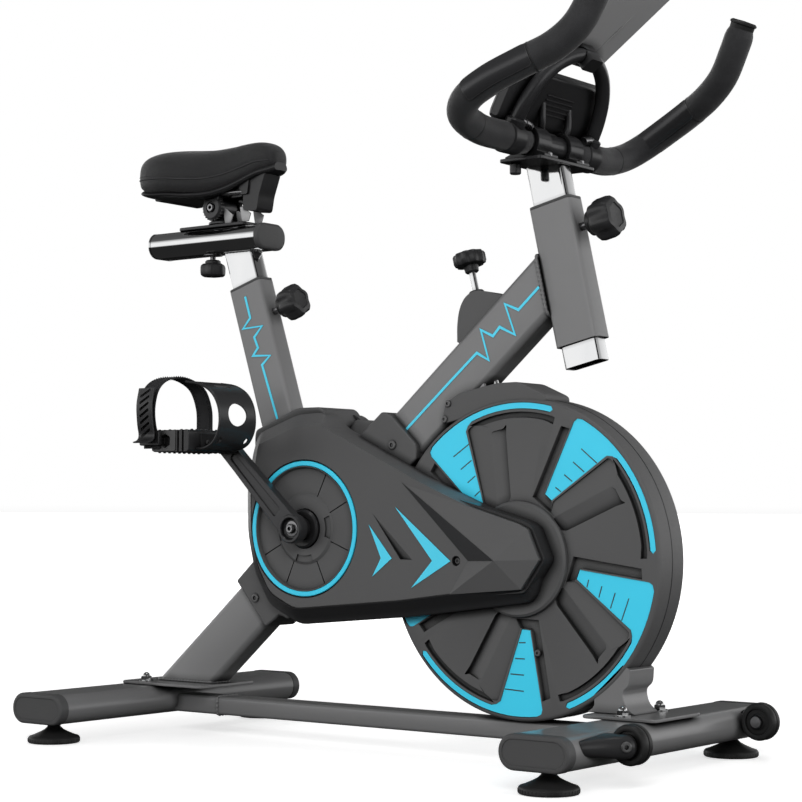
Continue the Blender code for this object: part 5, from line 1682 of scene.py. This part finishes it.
def buildClamp():
    low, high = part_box("saddle_carriage")
    plateTopZ = high.z
    plateLow = low.z
    mid = Vector(((low.x + high.x) / 2, 0, 0))
    outline = [(mid.x + a, b) for a, b in ovalBox(*seat["plate"], 6)]

    def plate(bm):
        rings = [[Vector((x, y, z)) for x, y in outline] for z in (plateLow, plateTopZ - 0.0012)]
        addLoft(bm, rings)
    piece("carriagePlate", form(plate), "blackSteel", "carriage", ["saddle_carriage"], bevel=0.0010)

    def cheeks(bm):
        for sign in (-1, 1):
            for x0, x1 in ((-0.2950, -0.2845), (-0.2630, -0.2510)):
                addSide(bm, [(x0, plateTopZ - 0.001), (x1, plateTopZ - 0.001),
                    (x1 + 0.004, plateTopZ + 0.010), (x0 + 0.001, plateTopZ + 0.020),
                    (x0 - 0.004, plateTopZ + 0.020)], sign * 0.0125, sign * 0.0150)
    piece("carriageCheeks", form(cheeks), "panel", "carriage", bevel=0.0007)
    stem = [(0, plateTopZ), (0.0205, plateTopZ), (0.0205, plateTopZ + 0.0025), (0.0150, plateTopZ + 0.0060),
        (0.0115, plateTopZ + 0.0090), (0.0115, tiltAt.z - 0.008), (0, tiltAt.z - 0.008)]
    base = Vector((tiltAt.x, 0, 0))
    piece("clampStem", form(addTurned, stem, base, up, 40), "blackSteel", "carriage", ["saddle_clamp"])
    body = [(0, -0.0165), (0.0125, -0.0165), (seat["drum"], -0.0150),
        (seat["drum"], 0.0150), (0.0125, 0.0165), (0, 0.0165)]
    piece("clampBody", form(addTurned, body, tiltAt, across, 40), "blackSteel", "carriage")
    places = []
    for sign in (-1, 1):
        way = across * sign
        jaw = [(0, 0.0168), (0.0165, 0.0168), (0.0175, 0.0178), (0.0175, 0.0232),
            (0.0150, 0.0262), (0.0088, 0.0262), (0.0088, 0.0245), (0, 0.0245)]
        piece(f"clampJaw_{sign}", form(addTurned, jaw, tiltAt, way, 40), "blackSteel", "carriage")
        grow(f"clampTeeth_{sign}", [[tiltAt + way * 0.0205, tiltAt + way * 0.0206]], "ring",
            {"Count": 24, "Radius": 0.0176, "Size": (0.0022, 0.0012, 0.0050), "Rotation": (pi / 2, 0, 0),
            "Place": tuple(tiltAt + way * 0.0205)}, "blackSteel", "carriage")
        places.append((tiltAt + way * 0.0246, way))
        hold = rounded([(-0.0150, 0.0100), (0.0150, 0.0100), (0.0120, 0.0245), (-0.0120, 0.0245)], 0.003, 3)
        shape = [(tiltAt.x + a, tiltAt.z + b) for a, b in hold]
        piece(f"railClamp_{sign}", form(addSide, shape, sign * 0.0168, sign * 0.0260),
            "blackSteel", "saddle", bevel=0.0009)
    screws("clampBolts", places, "carriage", 0.0062, 0.0045, "steel")


# Lobed hand knobs: a fluted head, a collar and a pin, for the posts and the carriage
def buildKnob(name, at, way, body, look, replaces=()):
    r, depth = look["radius"], look["depth"]
    start, stop = look["from"], look["to"]
    height = stop - start
    head = [(0, start), (r * 0.80, start), (r * 0.95, start + height * 0.12),
        (r, start + height * 0.28), (r, start + height * 0.70), (r * 0.96, start + height * 0.86),
        (r * 0.84, stop - 0.0006), (r * 0.60, stop), (r * 0.56, stop - 0.0012), (0, stop - 0.0016)]
    piece(f"{name}Head", form(addTurned, head, at, way, 144, lobes=look["lobes"],
        lobeDepth=depth), "black", body, replaces, sharp=30)
    neck = look["neck"]
    collar = [(0, start - height * 0.30), (neck * 0.80, start - height * 0.30),
        (neck, start - height * 0.22), (neck * 1.05, start + 0.0010), (0, start + 0.0010)]
    piece(f"{name}Collar", form(addTurned, collar, at, way, 48), "black", body)
    pin = look["pin"]
    rod = [(0, look["root"]), (pin * 0.85, look["root"]),
        (pin, look["root"] + 0.0010), (pin, start), (0, start)]
    piece(f"{name}Pin", form(addTurned, rod, at, way, 32), look.get("metal", "steel"), body)


def buildPosts():
    wide, thick, radius = seat["post"]
    outline = ovalBox(wide, thick, radius, 5)
    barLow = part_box("seat_bar")[0].z
    start, end = seatTop - seatUp * 0.212, seatTop + seatUp * 0.05
    planes = (None, (Vector((0, 0, barLow - 0.0002)), up))
    post = rawPiece("seatPostTube", form(addBar, start, end, outline, planes))
    settle(post, "chrome", "seat_post", ["seat_post"], bevel=0.0005, steps=2, sharp=50)
    low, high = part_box("seat_bar")
    section = ovalBox(seat["barWide"], seat["barDeep"], 0.0168, 8)
    middle = Vector((0, 0, (low.z + high.z) / 2))
    rings = [ringAt(middle + forward * x, across, up, section) for x in (low.x, high.x)]
    slide = rawPiece("seatSlide", form(addLoft, rings))
    smaller = [ringAt(middle + forward * x, across, up,
        [(a * 0.93, b * 0.89) for a, b in section]) for x in (low.x + 0.004, high.x - 0.004)]
    slotLong, slotWide = seat["slot"]
    slot = [(-0.3210 + a, b) for a, b in ovalBox(slotLong, slotWide, 0.0045, 5)]
    slotForm = form(addLoft, [[Vector((x, y, z)) for x, y in slot] for z in (0.60, 0.80)])
    carve(slide, [form(addLoft, smaller), slotForm])
    settle(slide, "chrome", "seat_post", ["seat_bar"], bevel=0.0005, steps=2, sharp=40)
    capLow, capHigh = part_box("seat_bar_cap")
    edge = ovalBox(seat["barWide"] + 0.0012, seat["barDeep"] + 0.0012, 0.0174, 8)
    rings = [ringAt(middle + forward * x, across, up, shrink(edge, trim) if trim else edge)
        for x, trim in ((capLow.x, 0), (capHigh.x - 0.0006, 0),
        (capHigh.x + 0.0012, 0.0014), (capHigh.x + 0.0020, 0.0045))]
    piece("slideCapFront", form(addLoft, rings), "greyCap", "seat_post", ["seat_bar_cap"], sharp=40)
    capLow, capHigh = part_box("seat_bar_end")
    rearRings = [ringAt(middle + forward * x, across, up, shrink(edge, trim) if trim else edge) for x,
        trim in ((capLow.x - 0.0010, 0.0040), (capLow.x, 0.0012), (capLow.x + 0.0012, 0), (capHigh.x, 0))]
    piece("slideCapRear", form(addLoft, rearRings), "chrome", "seat_post", ["seat_bar_end"], sharp=40)
    # weld where the post meets the bar
    top = barRings(start, end, outline, planes)[1]
    piece("slideWeld", form(addWeld, top, 0.0018, 0.0004), "chrome", "seat_post", sharp=70)


def buildSeatKnobs():
    at = seatTop - seatUp * 0.048
    buildKnob("seatKnob", at, seatFront, "seat_knob",
        {"radius": 0.0245, "depth": 0.13, "lobes": 6, "from": 0.052, "to": 0.080,
        "neck": 0.0150, "pin": 0.0050, "root": 0.0262}, ["seat_post_knob"])
    nut = [(0, 0.0165), (0.0125, 0.0165), (0.0125, 0.0225), (0.0110, 0.0240), (0, 0.0240)]
    piece("seatKnobNut", form(addTurned, nut, at, seatFront, 6), "steel", "frame", bevel=0.0006)
    turn = joints["carriage_knob_turn"]["pos_m"]
    buildKnob("carriageKnob", Vector(turn), -up, "carriage_knob",
        {"radius": 0.0185, "depth": 0.10, "lobes": 6, "from": -0.007, "to": 0.0115,
        "neck": 0.0110, "pin": 0.0040, "root": -0.0560}, ["carriage_knob"])
    washer = [(0, -0.0205), (0.0135, -0.0205), (0.0140, -0.0198), (0.0140, -0.0188), (0, -0.0188)]
    piece("carriageWasher", form(addTurned, washer, Vector(turn), -up, 36), "steel", "carriage_knob")


def buildSeat():
    buildPosts()
    buildClamp()
    buildSaddle()
    buildSeatKnobs()
    print("seat built")


buildSeat()


# Handlebar: chrome post, clamp, foam-covered bar, pulse plates, front loop, console and device rest
bars = {
    "post": (0.0535, 0.0255, 0.0060), "clampZ": 0.7520, "barZ": 0.7752, "radius": 0.0185,
    "half": [(0.2400, 0.0000, 0.0), (0.2400, 0.0450, 0.0), (0.2400, 0.1000, 0.0), (0.2370, 0.1460, 0.002),
             (0.2410, 0.1860, 0.012), (0.2600, 0.2050, 0.027), (0.2940, 0.2060, 0.045),
             (0.3330, 0.1970, 0.062),
             (0.3680, 0.1850, 0.078), (0.3950, 0.1770, 0.100), (0.4130, 0.1720, 0.130),
             (0.4280, 0.1700, 0.163)],
    "loopSlope": 62.0, "loopRadius": 0.0095,
    "loop": [(0.0, 0.0870), (0.030, 0.0865), (0.052, 0.0830), (0.076, 0.0740), (0.098, 0.0580),
             (0.113, 0.0380), (0.121, 0.0180), (0.1230, 0.0)],
}
loopAlong = Vector((cos(radians(bars["loopSlope"])), 0, sin(radians(bars["loopSlope"]))))
loopBack = Vector((-loopAlong.z, 0, loopAlong.x))
barCentre = Vector((0.2400, 0, bars["barZ"]))


def barPath(sign, steps=6):
    return smoothPath([(x, sign * y, bars["barZ"] + dz) for x, y, dz in bars["half"]], steps)


def buildGrips():
    for side, sign in sides:
        path = barPath(sign)
        reach = [0.0]
        for a, b in zip(path, path[1:]):
            reach.append(reach[-1] + (b - a).length)
        total = reach[-1]
        grip = [(p, d) for p, d in zip(path, reach) if 0.050 <= d <= total - 0.004]
        count = len(grip)
        radii = []
        for k, (p, d) in enumerate(grip):
            r = bars["radius"]
            if k == 0 or k == count - 1:
                r -= 0.0030
            elif k == 1 or k == count - 2:
                r -= 0.0008
            radii.append(r)
        points = [p for p, d in grip]
        piece(f"grip_{side}", form(addTube, points, radii, 40), "foam",
            "handlebars", ["handlebar"] if sign < 0 else (), sharp=60)
        # end plug
        way = (path[-1] - path[-2]).normalized()
        plug = [(0, -0.020), (0.0150, -0.020), (0.0160, -0.001),
            (0.0176, 0.0), (0.0176, 0.0020), (0.0150, 0.0040), (0, 0.0046)]
        piece(f"barPlug_{side}", form(addTurned, plug, path[-1], way, 40), "rubber", "handlebars")
        # joint rings where the foam sleeves meet
        for mark in (0.36, 0.70):
            k = min(range(count), key=lambda i: abs(grip[i][1] - total * mark))
            along = (points[k + 1] - points[k - 1]).normalized()
            ring = [(0.0178, -0.0009), (bars["radius"] + 0.0003, -0.0006),
                (bars["radius"] + 0.0003, 0.0006), (0.0178, 0.0009)]
            piece(f"sleeveRing_{side}_{int(mark * 100)}",
                form(addTurned, ring, points[k], along, 40), "rubber", "handlebars")
    core = [barCentre - across * 0.062, barCentre + across * 0.062]
    piece("barCore", form(addTube, core, 0.0160, 36), "blackSteel", "handlebars")


# Pulse plates: thin polished half sleeves let into the grips where the palms lie
def buildPulsePlates():
    for side, sign in sides:
        path = barPath(sign, 10)
        low, high = 0.268, 0.345
        run = [p for p in path if low <= p.x <= high]
        rings = []
        for k, p in enumerate(run):
            way = (run[min(k + 1, len(run) - 1)] - run[max(k - 1, 0)]).normalized()
            outer = across * sign
            outer = (outer - way * outer.dot(way)).normalized()
            other = way.cross(outer)
            edge = 1.0 if 0 < k < len(run) - 1 else 0.86
            ring = []
            for a in range(-6, 7):
                t = radians(8 * a * edge)
                ring.append(p + (outer * cos(t) + other * sin(t)) * (bars["radius"] + 0.0012))
            for a in range(6, -7, -1):
                t = radians(8 * a * edge)
                ring.append(p + (outer * cos(t) + other * sin(t)) * (bars["radius"] - 0.0020))
            rings.append(ring)
        for label, turn in (("out", 0), ("in", 180)):
            made = rings
            if turn:
                made = []
                for ring, p in zip(rings, run):
                    way = (run[-1] - run[0]).normalized()
                    spin = Matrix.Rotation(pi, 4, way)
                    made.append([p + spin @ (q - p) for q in ring])
            piece(f"pulsePlate_{side}_{label}", form(addLoft, made), "blackSteel", "handlebars", sharp=45)


def buildLoop():
    points = bars["loop"]
    path = [barCentre + loopAlong * s - across * w for s, w in points]
    path += [barCentre + loopAlong * s + across * w for s, w in points[-2::-1]]
    piece("frontLoop", form(addTube, smoothPath(path, 7), bars["loopRadius"],
        28), "blackSteel", "handlebars", ["handlebar_loop"], sharp=60)
    rings = [(0.0120, -0.0020), (0.0135, -0.0010), (0.0135, 0.0060),
        (0.0120, 0.0075), (0.0097, 0.0085), (0.0097, -0.0020)]
    for side, sign in sides:
        foot = barCentre + across * (sign * 0.0870) + loopAlong * (bars["radius"] - 0.001)
        piece(f"loopFoot_{side}", form(addTurned, rings, foot, loopAlong, 36), "blackSteel", "handlebars")
        cuff = [(bars["radius"] + 0.0004, -0.0130),
            (bars["radius"] + 0.0018, -0.0115), (bars["radius"] + 0.0018, 0.0115),
            (bars["radius"] + 0.0004, 0.0130), (0.0170, 0.0130), (0.0170, -0.0130)]
        at = barCentre + across * (sign * 0.0870)
        piece(f"loopCuff_{side}", form(addTurned, cuff, at, across, 40), "black", "handlebars")
        plug = [(0, 0), (0.0052, 0), (0.0058, 0.0010), (0.0058, 0.0130),
            (0.0045, 0.0145), (0.0045, 0.0240), (0, 0.0240)]
        jack = barCentre + across * (sign * 0.0620) + loopAlong * 0.020 - loopBack * 0.006
        piece(f"pulseJack_{side}", form(addTurned, plug, jack, (across * sign + up * 0.25).normalized(),
            28), "steel", "handlebars")
        grow(f"jackRibs_{side}", [[jack + across * (sign * 0.004 + sign * 0.0022 * k) for k in range(4)]],
            "beads", {"Spacing": 0.0024, "Size": (0.0011, 0.0128, 0.0128)}, "rubber", "handlebars")


def buildConsole():
    at = barCentre + loopAlong * 0.050 + loopBack * 0.0190
    half = 0.105

    def section(trim):
        pts = [(-0.036, 0.0125), (-0.0375, 0.002), (-0.036, -0.005), (-0.030, -0.0085), (0.034, -0.0085),
            (0.038, -0.004), (0.040, 0.004), (0.038, 0.0125), (0.030, 0.0150), (-0.028, 0.0150)]
        return shrink(rounded(pts, 0.003, 3), trim) if trim else rounded(pts, 0.003, 3)
    levels = [(-half, 0.006), (-half + 0.003, 0.0018), (-half + 0.008, 0),
        (half - 0.008, 0), (half - 0.003, 0.0018), (half, 0.006)]
    rings = [ringAt(at + across * y, loopAlong, loopBack, section(trim)) for y, trim in levels]
    obj = rawPiece("consoleCase", form(addLoft, rings))
    window = rounded([(-0.020, -0.048), (0.022, -0.048), (0.022, 0.048), (-0.020, 0.048)], 0.004, 3)
    cutters = [form(addSlab, window, at + loopBack * 0.0150,
        loopAlong, -across, [(-0.0030, 0.0015), (0.003, 0)])]
    carve(obj, cutters)
    settle(obj, "black", "handlebars", ["console"], bevel=0.0010, sharp=35)
    glass = rounded([(-0.0185, -0.0465), (0.0205, -0.0465), (0.0205, 0.0465), (-0.0185, 0.0465)], 0.003, 3)
    piece("consoleGlass", form(addSlab, glass, at + loopBack * 0.0124, loopAlong,
        -across, [(0, 0), (0.0010, 0), (0.0014, 0.0004)]), "panel", "handlebars")
    for k in range(4):
        button = [(0, 0), (0.0042, 0), (0.0042, 0.0012), (0.0036, 0.0018), (0, 0.0019)]
        spot = at + loopBack * 0.0147 + across * 0.0675 - loopAlong * (0.017 - 0.0115 * k)
        piece(f"consoleButton_{k}", form(addTurned, button, spot, loopBack, 24), "panel", "handlebars")
    # ribbed back, lower lip and the bracket that holds the console on the loop
    lip = rounded([(-0.0400, -0.010), (-0.0345, -0.011), (-0.0330, 0.004), (-0.0385, 0.006)], 0.0012, 2)
    rings = [ringAt(at + across * y, loopAlong, loopBack, lip) for y in (-0.075, 0.075)]
    piece("consoleLip", form(addLoft, rings), "greyCap", "handlebars", bevel=0.0006)
    places = [(at + loopAlong * a + across * b - loopBack * 0.0084,
        -loopBack) for a in (-0.022, 0.026) for b in (-0.088, 0.088)]
    screws("consoleScrews", places, "handlebars", 0.0034, 0.0014)
    slots = [[at + loopAlong * (-0.012 + 0.006 * k) + across * (0.030 * s)
        - loopBack * 0.0088 for s in (-1, 1)] for k in range(5)]
    for k, (a, b) in enumerate(slots):
        piece(f"consoleRib_{k}", form(addTube, [a, b], 0.0011, 8), "black", "handlebars")
    for side, sign in sides:
        arm = [at + across * (sign * 0.030) - loopBack * 0.006,
            at + across * (sign * 0.030) - loopBack * 0.016 - loopAlong * 0.020,
            barCentre + across * (sign * 0.026) + loopAlong * 0.013]
        piece(f"consoleArm_{side}", form(addTube, smoothPath(arm, 5), 0.0046, 14),
            "blackSteel", "handlebars", sharp=60)


def buildRest():
    rest = {"slope": 35.0, "long": 0.175, "half": 0.066}
    along = Vector((cos(radians(rest["slope"])), 0, sin(radians(rest["slope"]))))
    back = Vector((-along.z, 0, along.x))
    pivot = Vector(joints["rest_tilt"]["pos_m"])
    start = pivot + back * (bars["loopRadius"] + 0.0070) - along * 0.020
    half = rest["half"]
    plan = rounded([(0, -half), (rest["long"], -half), (rest["long"], half), (0, half)], 0.012, 5)
    obj = rawPiece("restPanel", form(addSlab, plan, start, along, -across,
        [(0.0002, 0.0008), (0.0010, 0), (0.0040, 0), (0.0050, 0.0010)]))
    cutters = []
    for k in range(3):
        strip = ovalBox(0.110, 0.0050, 0.0024, 4)
        at = start + along * 0.095 + across * (0.026 * (k - 1)) + back * 0.0050
        cutters.append(form(addSlab, strip, at, along, -across, [(-0.0016, 0.0004), (0.002, 0)]))
    carve(obj, cutters)
    settle(obj, "panel", "device_rest", ["device_rest"], bevel=0.0006, sharp=35)
    lipPlan = rounded([(0, -half + 0.006), (0.0058, -half + 0.006),
        (0.0058, half - 0.006), (0, half - 0.006)], 0.0022, 3)
    piece("restLip", form(addSlab, lipPlan, start + along * 0.0004, along, -across,
        [(0.0030, 0), (0.0135, 0), (0.0148, 0.0010)]), "panel", "device_rest", bevel=0.0008)
    for k in range(2):
        pad = rounded([(0.012 + 0.140 * k, -0.045), (0.019 + 0.140 * k, -0.045),
            (0.019 + 0.140 * k, 0.045), (0.012 + 0.140 * k, 0.045)], 0.003, 3)
        piece(f"restPad_{k}", form(addSlab, pad, start, along, -across,
            [(0.0040, 0), (0.0058, 0), (0.0062, 0.0006)]), "rubber", "device_rest")
    stub = ovalBox(0.020, 0.028, 0.003, 3)
    block = rawPiece("restClip", form(addSlab, stub, pivot + back * 0.0004, along, -across,
        [(-0.0125, 0.002), (-0.0105, 0), (0.0168, 0)]))
    reach = bars["loopRadius"] + 0.0006
    hole = [(0, -0.04), (reach, -0.04), (reach, 0.04), (0, 0.04)]
    carve(block, [form(addTurned, hole, pivot, across, 32)])
    settle(block, "black", "device_rest", bevel=0.0008)

    def braces(bm):
        for y in (-0.030, 0.030):
            corner = [start + along * a + back * n for a,
                n in ((0.010, 0.0006), (0.150, 0.0006),
                (0.140, -0.0035), (0.060, -0.0060), (0.010, -0.0050))]
            addSide(bm, [(p.x, p.z) for p in corner], y - 0.0013, y + 0.0013)
    piece("restRibs", form(braces), "panel", "device_rest", bevel=0.0005)


def buildStem():
    wide, thick, radius = bars["post"]
    outline = ovalBox(wide, thick, radius, 5)
    low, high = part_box("handlebar_post")
    reach = (low.z - headTop.z) / headUp.z
    start = headTop + headUp * (reach + 0.004)
    planes = (None, (Vector((0, 0, high.z - 0.0001)), up))
    post = rawPiece("barPostTube", form(addBar, start, headTop + headUp * 0.09, outline, planes))
    inner = ovalBox(wide - 0.004, thick - 0.004, radius - 0.002, 5)
    carve(post, [form(addBar, start - headUp * 0.01, start + headUp * 0.05, inner)])
    settle(post, "chrome", "handlebars", ["handlebar_post"], bevel=0.0005, steps=2, sharp=50)
    z = bars["clampZ"]
    plan = rounded([(0.2080, -0.064), (0.2720, -0.064), (0.2720, 0.064), (0.2080, 0.064)], 0.007, 4)
    rings = [[Vector((x, y, h)) for x, y in (shrink(plan, trim) if trim else plan)] for h,
        trim in ((z - 0.0021, 0.0006), (z - 0.0014, 0), (z + 0.0014, 0), (z + 0.0021, 0.0006))]
    piece("clampPlate", form(addLoft, rings), "blackSteel", "handlebars", ["handlebar_clamp"])
    for side, sign in sides:
        r = bars["radius"]
        outer = arc(0.2400, bars["barZ"], r + 0.0032, -35, 215, 22)
        saddleLine = [(0.2400 - 0.0300, z + 0.0021), (0.2400 - 0.0300, z + 0.0062),
            *outer[::-1], (0.2400 + 0.0300, z + 0.0062), (0.2400 + 0.0300, z + 0.0021)]
        block = rawPiece(f"barClamp_{side}", form(addSide, saddleLine, sign * 0.022, sign * 0.052))
        bore = [(0, -0.07), (0.0161, -0.07), (0.0161, 0.07), (0, 0.07)]
        carve(block, [form(addTurned, bore, barCentre, across, 40)])
        settle(block, "blackSteel", "handlebars", bevel=0.0012, sharp=38)
        screws(f"clampScrews_{side}",
            [(Vector((0.2400 + s * 0.0262, sign * 0.037, z + 0.0060)), up)
            for s in (-1, 1)], "handlebars", 0.0042, 0.0036, "steel")
        barrel = [(0, 0), (0.0062, 0), (0.0072, 0.0010), (0.0072, 0.0120), (0.0060, 0.0135), (0, 0.0135)]
        piece(f"clampBarrel_{side}",
            form(addTurned, barrel, Vector((0.2220, sign * 0.046, z - 0.0022)),
            -up, 28), "blackSteel", "handlebars")
    top = barRings(start, headTop + headUp * 0.09, outline, planes)[1]
    piece("stemWeld", form(addWeld, top, 0.0018, 0.0004), "blackSteel", "handlebars", sharp=70)
    at = headTop - headUp * 0.038
    buildKnob("barKnob", at, headFront, "bar_knob",
        {"radius": 0.0270, "depth": 0.12, "lobes": 6, "from": 0.052, "to": 0.083,
        "neck": 0.0160, "pin": 0.0052, "root": 0.0287}, ["handlebar_post_knob"])
    nut = [(0, 0.0175), (0.0135, 0.0175), (0.0135, 0.0240), (0.0118, 0.0258), (0, 0.0258)]
    piece("barKnobNut", form(addTurned, nut, at + headFront * 0.0005,
        headFront, 6), "steel", "frame", bevel=0.0006)


def buildBrake():
    way = pressWay
    centre = flyAt + way * 0.3985
    head = [(0, -0.0100), (0.0160, -0.0100), (0.0200, -0.0085), (0.0215, -0.0050),
        (0.0215, 0.0045), (0.0200, 0.0070), (0.0150, 0.0085), (0, 0.0090)]
    piece("brakeHead", form(addTurned, head, centre, way, 160, lobes=10,
        lobeDepth=0.10), "black", "brake", ["brake_knob"], sharp=30)
    collar = [(0, -0.0190), (0.0075, -0.0190), (0.0090, -0.0175), (0.0100, -0.0095), (0, -0.0095)]
    piece("brakeCollar", form(addTurned, collar, centre, way, 36), "black", "brake")
    base = flyAt
    rod = [(0, 0.1900), (0.0045, 0.1900), (0.0045, 0.3850), (0, 0.3850)]
    piece("brakeRod", form(addTurned, rod, base, way, 28), "chrome", "brake")
    low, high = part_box("brake_cover")
    profile = smoothPath([(x, 0, z) for x,
        z in ((0.1120, 0.5330), (0.1122, 0.5560), (0.1160, 0.5760),
        (0.1250, 0.5905), (0.1390, 0.5972), (0.1560, 0.5962), (0.1820, 0.5890))], 5)
    outline = [(p.x, p.z) for p in profile] + [(0.1700, 0.5560), (0.1300, 0.5230)]
    dome = rawPiece("brakeDome", form(addSide, outline, -0.0175, 0.0175))
    bore = [(0, 0.29), (0.0058, 0.29), (0.0058, 0.42), (0, 0.42)]
    carve(dome, [form(addTurned, bore, base, way, 32)])
    settle(dome, "housing", "frame", ["brake_cover"], bevel=0.0045, steps=4, sharp=40)
    top = (Vector((0.1300, 0, 0.5935)) - base).dot(way)
    sleeve = [(0.0060, top - 0.006), (0.0105, top - 0.006),
        (0.0105, top + 0.0035), (0.0090, top + 0.0055), (0.0060, top + 0.0055)]
    piece("brakeBush", form(addTurned, sleeve, base, way, 40), "black", "frame")


def buildHandlebars():
    buildStem()
    buildGrips()
    buildPulsePlates()
    buildLoop()
    buildConsole()
    buildRest()
    buildBrake()
    print("handlebars built")


buildHandlebars()
